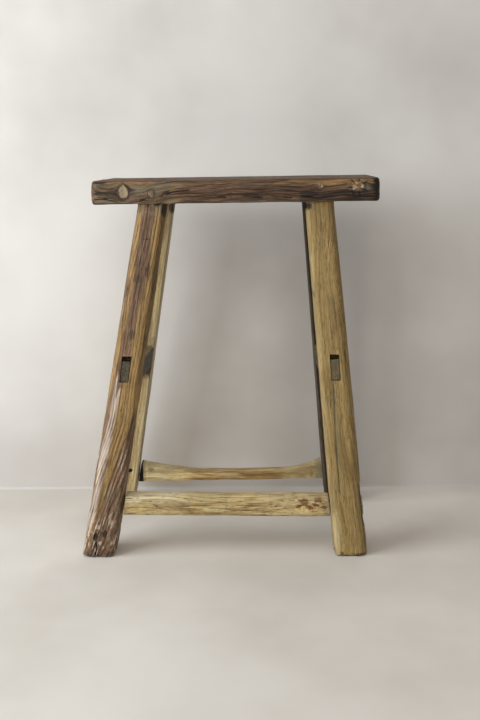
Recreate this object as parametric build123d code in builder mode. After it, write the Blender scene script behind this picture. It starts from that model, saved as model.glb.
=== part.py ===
"""A four-legged wooden milking stool, held together by mortise and tenon.

A plank seat stands on four splayed legs, which taper upwards and are roundest on their outer corner.
Each leg ends in a tenon that passes through the seat and is spread there by a wedge. Two side
stretchers join the legs front to back at mid height. Their through tenons show on the front of the
front legs, each below a wedge that was driven into its mortise and sits back from the face. A front and
a rear stretcher join the legs left to right near the floor. The front one is wedged from its ends. The
rear one has a hollowed top edge and is pegged.

The stool is as uneven as its maker left it: the left legs splay about twice as far as the right ones,
the side stretchers fall towards the back, and the two cross stretchers aren't quite level.

Frame: +X to the right, +Y to the back, +Z up. The origin is on the floor, at the centre of the stool's
bounding box. Units are millimetres and degrees.
"""

import math
import os

from build123d import *

# Seat plank
seat_height = 500
seat_length = 374
seat_depth = 180
seat_thickness = 31
seat_corner_radius = 9
seat_edge_radius = 4.5

# Legs, as square sections whose centres run down a straight line
leg_top_x = 109.5
leg_top_y = 63.5
splay_left = 10.0
splay_right = 4.9
splay_depth = 5.1
leg_top_width = 38
leg_foot_width = 46
leg_outer_radius = 15
leg_side_radius = 8
leg_inner_radius = 4
foot_chamfer = 2.5

# Leg tenons, through the seat, with their long side along the plank's grain
seat_tenon_length = 28
seat_tenon_width = 13
seat_tenon_recess = 0.3
seat_mortise_overrun = 2
seat_wedge_butt = 4
seat_wedge_tip = 1
seat_wedge_length = 24

# Side stretchers, front to back at mid height, each with a wedge above its tenon
side_stretcher_z = 245
side_stretcher_height = 30
side_stretcher_thickness = 38
side_stretcher_radius = 3
side_fall = 3.5
side_lean_share = 0.8
side_tenon_height = 27.5
side_tenon_thickness = 12
side_wedge_butt = 6
side_wedge_tip = 1.5
side_wedge_reach = 38
side_wedge_recess = {"front": 9, "rear": 1}
side_slot_overrun = 8

# Cross stretchers near the floor, by end of the stool. The height at the middle is of the bottom edge.
cross_bottom = {"front": 51.5, "rear": 36}
cross_tilt = {"front": -0.8, "rear": 0.7}
cross_height = {"front": 29, "rear": 31}
cross_thickness = {"front": 26, "rear": 24}
cross_radius = {"front": 5, "rear": 3.5}
cross_tenon_height = 24
cross_tenon_thickness = 12

# The front stretcher's wedges, in kerfs in its two ends
front_wedge_butt = 3.5
front_wedge_tip = 1
front_wedge_length = 22

# The hollow in the rear stretcher's top edge, which is deepest right of its middle
hollow_middle_height = 17
hollow_least_height = 14
hollow_least_x = 45
hollow_left_run = 80
hollow_left_slope = -0.2
hollow_right_slope = 0.6

# The pegs through the rear legs and the rear stretcher's tenons, inside a leg's middle and above the tenon's
peg_radius = 2
peg_inset = 11
peg_rise = 7
peg_recess = 1.5

# Gap all round a tenon or a peg in its hole
tenon_clearance = 0.1
peg_clearance = 0.05

shoulder = seat_height - seat_thickness
SIDES = {"left": -1, "right": 1}
ENDS = {"front": -1, "rear": 1}
SPLAYS = {"left": splay_left, "right": splay_right}


def slope(angle):
    """How far a line at this angle from the vertical moves aside for each millimetre down."""
    return math.tan(math.radians(angle))


def leg_width(z):
    """Width of a leg's square section at height z."""
    return leg_foot_width + (leg_top_width - leg_foot_width) * z / shoulder


# The left foot reaches out furthest above its chamfer. The seat's right end is the other limit in X.
foot_reach = leg_top_x + (shoulder - foot_chamfer) * slope(splay_left) + leg_width(foot_chamfer) / 2
seat_x = (foot_reach - seat_length / 2) / 2


def leg_centre(side, end, z):
    """Centre of a leg's section at height z, as (x, y)."""
    drop = shoulder - z
    x = seat_x + SIDES[side] * (leg_top_x + drop * slope(SPLAYS[side]))
    y = ENDS[end] * (leg_top_y + drop * slope(splay_depth))
    return x, y


def leg_shaft(side, end):
    """The leg from the floor to the seat, before its tenon and its mortises."""
    with BuildPart() as shaft:
        for z in (0, shoulder):
            half = leg_width(z) / 2
            x, y = leg_centre(side, end, z)
            corners = [
                (SIDES[side], ENDS[end], leg_outer_radius),
                (SIDES[side], -ENDS[end], leg_side_radius),
                (-SIDES[side], ENDS[end], leg_side_radius),
                (-SIDES[side], -ENDS[end], leg_inner_radius),
            ]
            with BuildSketch(Plane.XY.offset(z)) as section:
                with Locations((x, y)):
                    Rectangle(2 * half, 2 * half)
                for toward_x, toward_y, radius in corners:
                    corner = (x + toward_x * half, y + toward_y * half, 0)
                    fillet(section.vertices().sort_by_distance(corner)[0], radius)
        loft()
        chamfer(shaft.faces().sort_by(Axis.Z)[0].edges(), foot_chamfer)
    return shaft.part


def seat_tenon(side, end, clearance=0.0, overrun=0.0):
    """The slanted tenon on a leg's top. With a clearance and an overrun, it is the cutter for its mortise."""
    with BuildPart() as tenon:
        for z in (shoulder - overrun, seat_height - seat_tenon_recess + overrun):
            with BuildSketch(Plane.XY.offset(z)):
                with Locations(leg_centre(side, end, z)):
                    Rectangle(seat_tenon_length + 2 * clearance, seat_tenon_width + 2 * clearance)
        loft()
    return tenon.part


def seat_wedge(side, end):
    """The wedge that spreads a leg's tenon along the plank's grain."""
    top = seat_height - seat_tenon_recess
    with BuildPart() as wedge:
        for z, thickness in ((top - seat_wedge_length, seat_wedge_tip), (top, seat_wedge_butt)):
            with BuildSketch(Plane.XY.offset(z)):
                with Locations(leg_centre(side, end, z)):
                    Rectangle(thickness, seat_tenon_width)
        loft()
    return wedge.part


def side_plane(side):
    """The plane across a side stretcher at its middle, turned towards the slant of its legs.

    Its normal runs along the stretcher to the front.
    """
    fall = math.radians(side_fall)
    lean = math.radians(SIDES[side] * SPLAYS[side] * side_lean_share)
    return Plane(
        (leg_centre(side, "front", side_stretcher_z)[0], 0, side_stretcher_z),
        x_dir=(math.cos(lean), math.sin(lean) * math.sin(fall), math.sin(lean) * math.cos(fall)),
        z_dir=(0, -math.cos(fall), math.sin(fall)),
    )


def cross_plane(end):
    """The plane across a front or rear stretcher at its middle. Its normal runs along it to the right."""
    middle = cross_bottom[end] + cross_height[end] / 2
    left_x, y = leg_centre("left", end, middle)
    right_x = leg_centre("right", end, middle)[0]
    tilt = math.radians(cross_tilt[end])
    return Plane(
        ((left_x + right_x) / 2, y, middle),
        x_dir=(0, 1, 0),
        z_dir=(math.cos(tilt), 0, math.sin(tilt)),
    )


def bar(plane, width, height, half_length, radius=0.0):
    """A bar that runs both ways from a plane across it, with its long edges rounded to radius."""
    with BuildPart() as length:
        with BuildSketch(plane):
            if radius:
                RectangleRounded(width, height, radius)
            else:
                Rectangle(width, height)
        extrude(amount=half_length, both=True)
    return length.part


def tenoned(body, tenon, legs):
    """A stretcher whose shoulders are scribed to its two legs and whose tenons end flush with them."""
    tenon_ends = []
    for leg in legs:
        with BuildPart() as tenon_end:
            add(tenon)
            add(leg, mode=Mode.INTERSECT)
        tenon_ends.append(tenon_end.part)
    with BuildPart() as stretcher:
        add(body)
        for leg in legs:
            add(leg, mode=Mode.SUBTRACT)
        for tenon_end in tenon_ends:
            add(tenon_end)
    return stretcher.part


def side_wedge(side, end, recess, clearance=0.0):
    """The wedge on top of a side stretcher's tenon. With a clearance, it is the cutter for its slot."""
    middle_y = leg_centre(side, end, side_stretcher_z)[1]
    top = side_stretcher_z - middle_y * slope(side_fall) + side_tenon_height / 2
    face = abs(leg_centre(side, end, top)[1]) + leg_width(top) / 2
    taper = (side_wedge_butt - side_wedge_tip) / side_wedge_reach
    with BuildPart() as wedge:
        for depth in (recess, side_wedge_reach):
            thickness = side_wedge_butt - taper * depth + clearance
            with BuildSketch(side_plane(side).offset(-ENDS[end] * (face - depth))):
                with Locations((0, side_tenon_height / 2)):
                    width = side_tenon_thickness + 2 * clearance
                    Rectangle(width, thickness, align=(Align.CENTER, Align.MIN))
        loft()
    return wedge.part


def front_wedge(side, leg):
    """The wedge in an end of the front stretcher, lying flat across its tenon."""
    across = cross_plane("front")
    outer = abs(leg_centre(side, "front", across.origin.Z)[0] - across.origin.X) + leg_foot_width / 2
    with BuildPart() as wedge:
        for reach, thickness in ((outer - front_wedge_length, front_wedge_tip), (outer, front_wedge_butt)):
            with BuildSketch(across.offset(SIDES[side] * reach)):
                Rectangle(cross_tenon_thickness, thickness)
        loft()
        add(leg, mode=Mode.INTERSECT)
    return wedge.part


def rear_peg(side, radius, half_length):
    """The peg that runs front to back through a rear leg and the tenon inside it."""
    across = cross_plane("rear")
    leg_x, leg_y = leg_centre(side, "rear", across.origin.Z)
    x = leg_x - SIDES[side] * peg_inset
    z = across.origin.Z + (x - across.origin.X) * slope(cross_tilt["rear"]) + peg_rise
    with BuildPart() as peg:
        with BuildSketch(Plane.XZ.offset(-leg_y)):
            with Locations((x, z)):
                Circle(radius)
        extrude(amount=half_length, both=True)
    return peg.part


def hollowed_bar():
    """The rear stretcher's body: a bar whose top edge dips smoothly between two tall ends."""
    across = cross_plane("rear")
    lengthwise = Plane(across.origin, x_dir=across.z_dir, z_dir=(0, -1, 0))
    bottom = -cross_height["rear"] / 2
    top = cross_height["rear"] / 2
    left_x, right_x = (leg_centre(side, "rear", across.origin.Z)[0] - across.origin.X for side in SIDES)
    left_face = left_x + leg_foot_width / 2
    right_face = right_x - leg_foot_width / 2
    with BuildPart() as body:
        with BuildSketch(lengthwise):
            with BuildLine():
                Polyline(
                    (left_face, top),
                    (left_x, top),
                    (left_x, bottom),
                    (right_x, bottom),
                    (right_x, top),
                    (right_face, top),
                )
                Spline(
                    (left_face, top),
                    (left_face + hollow_left_run, bottom + hollow_middle_height),
                    (hollow_least_x, bottom + hollow_least_height),
                    (right_face, top),
                    tangents=[(1, hollow_left_slope), (1, hollow_right_slope)],
                )
            make_face()
        extrude(amount=cross_thickness["rear"] / 2, both=True)
        long_edges = body.edges().filter_by(Plane.XZ).group_by(Axis.Z)
        fillet(long_edges[0], cross_radius["rear"])
    return body.part


def finish(part, name):
    """Labels a finished piece and writes it."""
    part.label = name
    export_step(part, f"parts/{name}.step")
    print(f"{name}: {len(part.solids())} solid, {part.volume / 1000:.1f} cm3")


os.makedirs("parts", exist_ok=True)

# Blank shafts, which also scribe the stretchers' shoulders
shafts = {(side, end): leg_shaft(side, end) for side in SIDES for end in ENDS}

# Bars as long as the tenons need, and looser ones that cut their mortises
side_half_length = leg_top_y + shoulder * slope(splay_depth) + leg_foot_width
cross_half_length = leg_top_x + shoulder * slope(splay_left) + leg_foot_width
side_tenons = {}
side_mortises = {}
for side in SIDES:
    across = side_plane(side)
    side_tenons[side] = bar(across, side_tenon_thickness, side_tenon_height, side_half_length)
    side_mortises[side] = bar(
        across,
        side_tenon_thickness + 2 * tenon_clearance,
        side_tenon_height + 2 * tenon_clearance,
        side_half_length,
    )
cross_tenons = {}
cross_mortises = {}
for end in ENDS:
    across = cross_plane(end)
    cross_tenons[end] = bar(across, cross_tenon_thickness, cross_tenon_height, cross_half_length)
    cross_mortises[end] = bar(
        across,
        cross_tenon_thickness + 2 * tenon_clearance,
        cross_tenon_height + 2 * tenon_clearance,
        cross_half_length,
    )

# Seat plank, with a slanted through mortise for each leg
with BuildPart() as seat:
    with BuildSketch(Plane.XY.offset(shoulder)):
        with Locations((seat_x, 0)):
            RectangleRounded(seat_length, seat_depth, seat_corner_radius)
    extrude(amount=seat_thickness)
    fillet(seat.faces().filter_by(Axis.Z).edges(), seat_edge_radius)
    for side, end in shafts:
        add(seat_tenon(side, end, tenon_clearance, seat_mortise_overrun), mode=Mode.SUBTRACT)
finish(seat.part, "seat")

# Legs, each with its tenon, the kerf for its wedge, and its two through mortises
for (side, end), shaft in shafts.items():
    top_wedge = seat_wedge(side, end)
    finish(top_wedge, f"seat_wedge_{end}_{side}")
    with BuildPart() as leg:
        add(shaft)
        add(seat_tenon(side, end))
        add(top_wedge, mode=Mode.SUBTRACT)
        add(side_mortises[side], mode=Mode.SUBTRACT)
        add(side_wedge(side, end, -side_slot_overrun, tenon_clearance), mode=Mode.SUBTRACT)
        add(cross_mortises[end], mode=Mode.SUBTRACT)
        if end == "rear":
            add(rear_peg(side, peg_radius + peg_clearance, leg_foot_width), mode=Mode.SUBTRACT)
    finish(leg.part, f"leg_{end}_{side}")

# Side stretchers and the wedges above their tenons
for side in SIDES:
    across = side_plane(side)
    half_length = leg_centre(side, "rear", side_stretcher_z)[1]
    blank = bar(across, side_stretcher_thickness, side_stretcher_height, half_length, side_stretcher_radius)
    legs = [shafts[side, end] for end in ENDS]
    finish(tenoned(blank, side_tenons[side], legs), f"stretcher_{side}")
    for end in ENDS:
        finish(side_wedge(side, end, side_wedge_recess[end]), f"side_wedge_{end}_{side}")

# Front stretcher and the wedges in its ends
legs = [shafts[side, "front"] for side in SIDES]
across = cross_plane("front")
half_length = leg_centre("right", "front", across.origin.Z)[0] - across.origin.X
blank = bar(across, cross_thickness["front"], cross_height["front"], half_length, cross_radius["front"])
with BuildPart() as front_stretcher:
    add(tenoned(blank, cross_tenons["front"], legs))
    for side in SIDES:
        end_wedge = front_wedge(side, shafts[side, "front"])
        finish(end_wedge, f"front_wedge_{side}")
        add(end_wedge, mode=Mode.SUBTRACT)
finish(front_stretcher.part, "stretcher_front")

# Rear stretcher and its pegs
legs = [shafts[side, "rear"] for side in SIDES]
with BuildPart() as rear_stretcher:
    add(tenoned(hollowed_bar(), cross_tenons["rear"], legs))
    for side in SIDES:
        add(rear_peg(side, peg_radius + peg_clearance, leg_foot_width), mode=Mode.SUBTRACT)
finish(rear_stretcher.part, "stretcher_rear")
for side in SIDES:
    across = cross_plane("rear")
    half_length = leg_width(across.origin.Z) / 2 - peg_recess
    finish(rear_peg(side, peg_radius, half_length), f"rear_peg_{side}")
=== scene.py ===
# %% [markdown]
# # An old wooden milking stool
# The stool is joined from hand-hewn timber: a plank seat, four splayed legs, four stretchers, and the
# wedges and pegs that lock its tenons. The packed model is its frame. It holds every size and place, so
# each piece made here starts from a node of the frame and then takes that node's place.

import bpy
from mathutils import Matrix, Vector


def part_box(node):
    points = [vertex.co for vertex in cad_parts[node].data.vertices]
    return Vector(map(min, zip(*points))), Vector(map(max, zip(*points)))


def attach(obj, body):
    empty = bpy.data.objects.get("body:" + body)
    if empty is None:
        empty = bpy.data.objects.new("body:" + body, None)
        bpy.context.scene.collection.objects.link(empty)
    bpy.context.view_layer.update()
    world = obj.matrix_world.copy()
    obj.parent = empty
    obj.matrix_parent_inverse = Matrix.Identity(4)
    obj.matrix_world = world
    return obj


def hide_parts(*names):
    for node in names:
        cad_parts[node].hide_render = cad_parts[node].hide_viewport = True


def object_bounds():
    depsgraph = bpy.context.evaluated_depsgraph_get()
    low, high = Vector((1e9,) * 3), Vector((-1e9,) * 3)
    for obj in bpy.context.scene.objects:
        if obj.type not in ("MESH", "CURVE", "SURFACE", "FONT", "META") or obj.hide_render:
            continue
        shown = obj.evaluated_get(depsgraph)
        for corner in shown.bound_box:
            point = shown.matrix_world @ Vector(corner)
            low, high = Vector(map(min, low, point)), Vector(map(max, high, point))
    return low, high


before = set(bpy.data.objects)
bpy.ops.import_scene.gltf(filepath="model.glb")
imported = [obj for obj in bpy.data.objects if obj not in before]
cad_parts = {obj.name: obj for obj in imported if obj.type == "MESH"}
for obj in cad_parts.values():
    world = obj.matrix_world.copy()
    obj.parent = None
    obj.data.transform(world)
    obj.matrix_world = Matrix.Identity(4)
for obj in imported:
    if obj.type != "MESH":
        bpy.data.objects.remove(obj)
cad_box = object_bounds()
print("frame:", len(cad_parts), "nodes,", [round(high - low, 4) for low, high in zip(*cad_box)], "m")

# %% Tools used all through
import functools
import math

import bpy
import numpy as np
from mathutils import Matrix

MM = 0.001  # one millimetre, in Blender's metres
SIDES = {"left": -1, "right": 1}
ENDS = {"front": -1, "rear": 1}


def node_box(node):
    """Lowest and highest corner of a node of the frame, in millimetres."""
    return tuple(np.array(corner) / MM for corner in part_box(node))


print("the seat's corners in millimetres:", [corner.round(1).tolist() for corner in node_box("seat")])

# %% [markdown]
# ## Camera
# The stool is seen from the front, a little from the right of its middle and from just above its seat.
# A 50 mm lens on a 36 mm frame keeps the splayed legs from looking stretched. The camera is turned by
# three small angles, so a product of rotations places it more plainly than a track-to constraint would.

# %% Camera
camera_place = (0.0495, -1.3913, 0.5283)
look_down = 11.516
turn_left = 1.432
roll = -0.859

camera = bpy.data.objects.new("camera", bpy.data.cameras.new("camera"))
camera.data.lens = 50
camera.data.sensor_width = 36
camera.matrix_world = (
    Matrix.Translation(camera_place)
    @ Matrix.Rotation(math.radians(turn_left), 4, "Z")
    @ Matrix.Rotation(math.radians(90 - look_down), 4, "X")
    @ Matrix.Rotation(math.radians(roll), 4, "Z")
)
bpy.context.scene.collection.objects.link(camera)
bpy.context.scene.camera = camera
bpy.context.scene.view_settings.view_transform = "Standard"
print("camera at", [round(value, 3) for value in camera.location])

# %% [markdown]
# ## Writing shader maths
# A finish is a graph of nodes, which is slow to read as a list of links. One small class wraps a socket and
# takes on Python's operators, so a mask can be written as `1 - wear * fibre`, and each sign adds its node.


# %% Shader maths as Python
class Wire:
    """A socket of a shader. Sums of wires add Math nodes, and any other node comes from node()."""

    def __init__(self, socket):
        self.socket = socket
        self.tree = socket.id_data

    @staticmethod
    def node(tree, kind, settings=None, inputs=None, output=0):
        """Adds a node of a kind, with its settings first and then its sockets, and returns one output."""
        made = tree.nodes.new(kind)
        for name, value in (settings or {}).items():
            setattr(made, name, value)
        for name, value in (inputs or {}).items():
            if isinstance(value, Wire):
                tree.links.new(value.socket, made.inputs[name])
            else:
                made.inputs[name].default_value = value
        return Wire(made.outputs[output])

    def maths(self, operation, *values):
        """A Math node of these values, or of the wire alone."""
        inputs = dict(enumerate(values or (self,)))
        return Wire.node(self.tree, "ShaderNodeMath", {"operation": operation}, inputs)

    def __add__(self, other):
        return self.maths("ADD", self, other)

    def __radd__(self, other):
        return self.maths("ADD", other, self)

    def __sub__(self, other):
        return self.maths("SUBTRACT", self, other)

    def __rsub__(self, other):
        return self.maths("SUBTRACT", other, self)

    def __mul__(self, other):
        return self.maths("MULTIPLY", self, other)

    def __rmul__(self, other):
        return self.maths("MULTIPLY", other, self)

    def __truediv__(self, other):
        return self.maths("DIVIDE", self, other)

    def step(self, low, high):
        """0 where the wire is below low, 1 above high, and an S-curve between."""
        inputs = {"Value": self, "From Min": low, "From Max": high}
        return Wire.node(self.tree, "ShaderNodeMapRange", {"interpolation_type": "SMOOTHSTEP"}, inputs)

    def vector(self, operation, other, output=0):
        """A Vector Math node of the wire and another value. Its output 1 is a number, such as a length."""
        inputs = {0: self, 1: other}
        return Wire.node(self.tree, "ShaderNodeVectorMath", {"operation": operation}, inputs, output)

    def mix(self, first, second, blend="MIX"):
        """The first colour where the wire is 0 and the second where it's 1."""
        settings = {"data_type": "RGBA", "blend_type": blend, "clamp_factor": True}
        return Wire.node(self.tree, "ShaderNodeMix", settings, {0: self, 6: first, 7: second}, 2)

    def noise(self, size, detail=2.0, output=0):
        """Soft noise between 0 and 1 in a vector's space, whose blots have this size along each axis."""
        scaled = self.vector("MULTIPLY", tuple(1 / length for length in size))
        inputs = {"Vector": scaled, "Scale": 1.0, "Detail": detail, "Roughness": 0.55}
        return Wire.node(self.tree, "ShaderNodeTexNoise", {"noise_dimensions": "3D"}, inputs, output)


print("besides + - * and /, a wire has", [name for name in vars(Wire) if not name.startswith("_")])

# %% [markdown]
# Colours are easier to judge as they look on a screen, from 0 to 255, but a shader works in linear light, so
# each one is converted where it's used. Every finish starts as a new material with its nodes switched on.


# %% Colours and new finishes
def colour(red, green, blue):
    """A colour given as 0 to 255 on a screen, as the linear numbers that a shader works in."""
    screen = np.array([red, green, blue]) / 255
    linear = np.where(screen < 0.04045, screen / 12.92, ((screen + 0.055) / 1.055) ** 2.4)
    return (*linear.tolist(), 1.0)


def new_finish(name):
    """A material with its node tree and its Principled BSDF."""
    material = bpy.data.materials.new(name)
    material.use_nodes = True
    return material, material.node_tree, material.node_tree.nodes["Principled BSDF"]


print("a mid tan in linear light:", [round(part, 3) for part in colour(190, 165, 120)[:3]])

# %% [markdown]
# ## Stage and light
# A pale floor and a pale plaster wall carry the stool's soft shadow. The wall is one sheet that bends up
# from the floor. It's left out on its back, so that the stool can also be looked at from behind, and it casts
# no shadow. The light is one broad window at the left, with a weak sky all round.


# %% Stage
def stage_finish(name, pale, deep, see_through_back=False):
    """A matt finish, clouded between two pale colours. It can be left out on the back of a sheet."""
    material, tree, shader = new_finish(name)
    place = Wire.node(tree, "ShaderNodeTexCoord", output="Object")
    cloud = place.noise((0.35, 0.35, 0.35), 4.0)
    shader_colour = cloud.step(0.3, 0.7).mix(colour(*pale), colour(*deep))
    tree.links.new(shader_colour.socket, shader.inputs["Base Color"])
    shader.inputs["Roughness"].default_value = 0.75
    shader.inputs["Specular IOR Level"].default_value = 0.2
    if see_through_back:
        back = Wire.node(tree, "ShaderNodeNewGeometry", output="Backfacing")
        clear = Wire.node(tree, "ShaderNodeBsdfTransparent")
        shown = Wire.node(tree, "ShaderNodeMixShader", None, {0: back, 1: Wire(shader.outputs[0]), 2: clear})
        tree.links.new(shown.socket, tree.nodes["Material Output"].inputs["Surface"])
    return material


def stage_sheet(name, profile, half_width, material):
    """A sheet whose profile, rows of (y, z), is carried along X from one side to the other."""
    across = np.array([-half_width, half_width])
    points = np.empty((len(profile), len(across), 3))
    points[..., 0] = across
    points[..., 1:] = np.array(profile)[:, None]
    row = 2 * np.arange(len(profile) - 1)[:, None]
    mesh = bpy.data.meshes.new(name)
    mesh.from_pydata(points.reshape(-1, 3).tolist(), [], (row + np.array([0, 1, 3, 2])).tolist())
    mesh.materials.append(material)
    sheet = bpy.data.objects.new(name, mesh)
    bpy.context.scene.collection.objects.link(sheet)
    return sheet


stage_reach = 3.0
wall_gap = 0.034  # from the stool's back to the wall
wall_y = cad_box[1][1] + wall_gap
cove_radius = 0.004
cove_turn = np.linspace(0, math.pi / 2, 9)
cove = np.stack([wall_y - cove_radius * (1 - np.sin(cove_turn)), cove_radius * (1 - np.cos(cove_turn))], -1)
wall_profile = [*cove.tolist(), [wall_y, stage_reach]]
floor_profile = [[-stage_reach, 0.0], [stage_reach, 0.0]]
floor_finish = stage_finish("floor_finish", (221, 215, 207), (203, 196, 187))
stage_sheet("floor", floor_profile, stage_reach, floor_finish)
wall_finish = stage_finish("wall_finish", (222, 219, 215), (200, 195, 190), see_through_back=True)
wall = stage_sheet("wall", wall_profile, stage_reach, wall_finish)
wall.visible_shadow = False
wall.visible_diffuse = False
print("stage:", len(wall_profile), "rows in the wall, which stands at y =", round(wall_y, 3), "m")


# %% [markdown]
# Wood shows its relief under a light from the side. A broad window on the left, a little cool, is the main
# one, and two weak warm panels and an even sky keep the shaded faces readable. A sun lamp would draw hard
# shadows, so these are area lights. Each is turned by a rotation whose columns are worked out below.


# %% Light
def look_along(direction):
    """The rotation that turns a light's own -Z to a direction, with its sides level."""
    away = -np.array(direction)
    side = np.cross((0, 0, 1), away)
    side /= np.linalg.norm(side)
    return np.stack([side, np.cross(away, side), away], 1).tolist()


def soft_light(name, place, size, watts, tint):
    """A square area light that faces the stool."""
    lamp = bpy.data.lights.new(name, "AREA")
    lamp.size = size
    lamp.energy = watts
    lamp.color = tint
    light = bpy.data.objects.new(name, lamp)
    direction = np.array(stool_middle) - np.array(place)
    turned = Matrix(look_along(direction / np.linalg.norm(direction))).to_4x4()
    light.matrix_world = Matrix.Translation(place) @ turned
    bpy.context.scene.collection.objects.link(light)


stool_middle = (0.0, 0.0, 0.28)
sky_tint, sky_strength = (1.0, 0.97, 0.92, 1.0), 0.36
soft_light("window", place=(-1.3, -0.66, 0.92), size=1.2, watts=28, tint=(0.9, 0.955, 1.0))
soft_light("front_fill", place=(-0.3, -1.9, 1.3), size=1.6, watts=8, tint=(1.0, 0.93, 0.83))
soft_light("back_fill", place=(0.6, 1.8, 1.3), size=1.6, watts=8, tint=(1.0, 0.95, 0.88))
sky = bpy.data.worlds.new("sky")
sky.use_nodes = True
sky.node_tree.nodes["Background"].inputs["Color"].default_value = sky_tint
sky.node_tree.nodes["Background"].inputs["Strength"].default_value = sky_strength
bpy.context.scene.world = sky

# %% [markdown]
# ## Roughness of hand and time
# Hewn and weathered wood is never plain, but each of its marks is smooth at some scale. Value noise gives
# that: every cell of a lattice gets a scrambled number, and a point between cells takes a mix of its eight
# corners. It works on whole arrays at once, and a cell's number depends on the cell alone, so each run
# gives the same stool.


# %% Noise on arrays
def smooth(x):
    """0 up to 0, 1 from 1 on, and 3x² - 2x³ between."""
    x = np.clip(x, 0, 1)
    return x * x * (3 - 2 * x)


def scramble(cell, seed):
    """A number between -1 and 1 for each cell, from its three whole numbers multiplied and folded over."""
    x, y, z = (cell[..., axis].astype(np.int64).astype(np.uint32) for axis in range(3))
    code = x * np.uint32(0x9E3779B1) ^ y * np.uint32(0x85EBCA77) ^ z * np.uint32(0xC2B2AE3D)
    code ^= np.uint32(seed * 668265263 % 2**32)
    code = (code ^ (code >> np.uint32(15))) * np.uint32(0x2C1B3C6D)
    code = (code ^ (code >> np.uint32(12))) * np.uint32(0x297A2D39)
    return (code ^ (code >> np.uint32(15))) / 2**31 - 1


def noise(points, size, seed, octaves=3):
    """Smooth random values, mostly between -0.7 and 0.7, in blots of a size along each axis.

    Each octave mixes the eight corners of a cell by weights 3f² - 2f³, and has half the size and half the
    strength of the one before.
    """
    total = 0
    for octave in range(octaves):
        place = points / (np.array(size, float) * 0.5**octave)
        cell = np.floor(place)
        share = smooth(place - cell)
        for corner in np.ndindex(2, 2, 2):
            weight = np.prod(np.where(np.array(corner), share, 1 - share), axis=-1)
            total = total + 0.5**octave * weight * scramble(cell + np.array(corner), seed + octave)
    return total / (2 - 0.5 ** (octaves - 1))


sample = noise(np.linspace((0, 0, 0), (90, 50, 70), 1000), (9, 9, 9), 1)
print("noise along a line runs from", sample.min().round(2), "to", sample.max().round(2))

# %% [markdown]
# ## Timber as a surface of two parameters
# Every piece of the stool is a four-sided timber with rounded arrises and closed ends. It's made as rows
# along its length by lines round its section, so one function gives the plank, the legs, the bars and the
# wedges. Lines and rows can be made to run exactly beside a border, which lets a mortise be sunk into the
# surface with crisp walls, with no Boolean and no loose edges.

# %% Sections and borders
CORNERS = np.array([(1, 1), (-1, 1), (-1, -1), (1, -1)])  # the order in which the lines pass them
BORDER_GAP = 0.15  # from a mortise's border to the line on each side of it


def borders(*values):
    """Two stops for each border, just before it and just after it."""
    return [np.asarray(value) + gap for value in values for gap in (-BORDER_GAP, BORDER_GAP)]


def spread(knots, spacing):
    """Values from the first knot to the last, through every knot, evenly spaced between knots."""
    gaps = [
        np.linspace(start, end, max(1, math.ceil((end - start) / spacing)), endpoint=False)
        for start, end in zip(knots, knots[1:])
    ]
    return np.concatenate([*gaps, knots[-1:]])


def section(half, radii, spacing, arris_steps, stops):
    """The outline across a timber at each of its rows, as (rows, lines, 2), and each line's side.

    On the arris at corner k, a point is the arris's centre + r (cos t, sin t), with t from 90k to 90k + 90
    degrees. Side k follows it, straight to the next arris, with its lines drawn through any stops. A line's
    side is k on a side and 4 + k on an arris.
    """
    outline, side = [], []
    for k in range(4):
        turn = np.radians(90 * k + np.linspace(0, 90, arris_steps + 1))
        out = np.stack([np.cos(turn), np.sin(turn)], -1)
        centre = CORNERS[k] * (half - radii[:, k, None])
        arris = centre[:, None] + radii[:, k, None, None] * out
        outline.append(arris)
        side += [4 + k] * (arris_steps + 1)
        after = (k + 1) % 4
        end = CORNERS[after] * (half - radii[:, after, None]) + radii[:, after, None] * out[-1]
        along = k % 2
        rows = np.ones(len(half))
        passed = sorted((stop * rows for stop in stops.get(k, ())), key=np.mean, reverse=k < 2)
        knots = [arris[:, -1, along], *passed, end[:, along]]
        for number, (start, stop) in enumerate(zip(knots, knots[1:])):
            steps = max(1, round(np.abs(stop - start).max() / np.broadcast_to(spacing, 4)[k]))
            share = np.arange(0 if number else 1, steps) / steps
            line = np.repeat(arris[:, -1:], len(share), axis=1)
            line[..., along] = start[:, None] * (1 - share) + stop[:, None] * share
            outline.append(line)
            side += [k] * len(share)
    return np.concatenate(outline, axis=1), np.array(side)


print("a border at 10 mm has lines at", [float(stop) for stop in borders(10)], "mm")

# %% [markdown]
# A section alone gives a tube. A timber stacks one at each of its rows, and closes each end with rows that
# shrink to the middle. The first few of those follow a quarter circle, which rounds the edge of the end.


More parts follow.
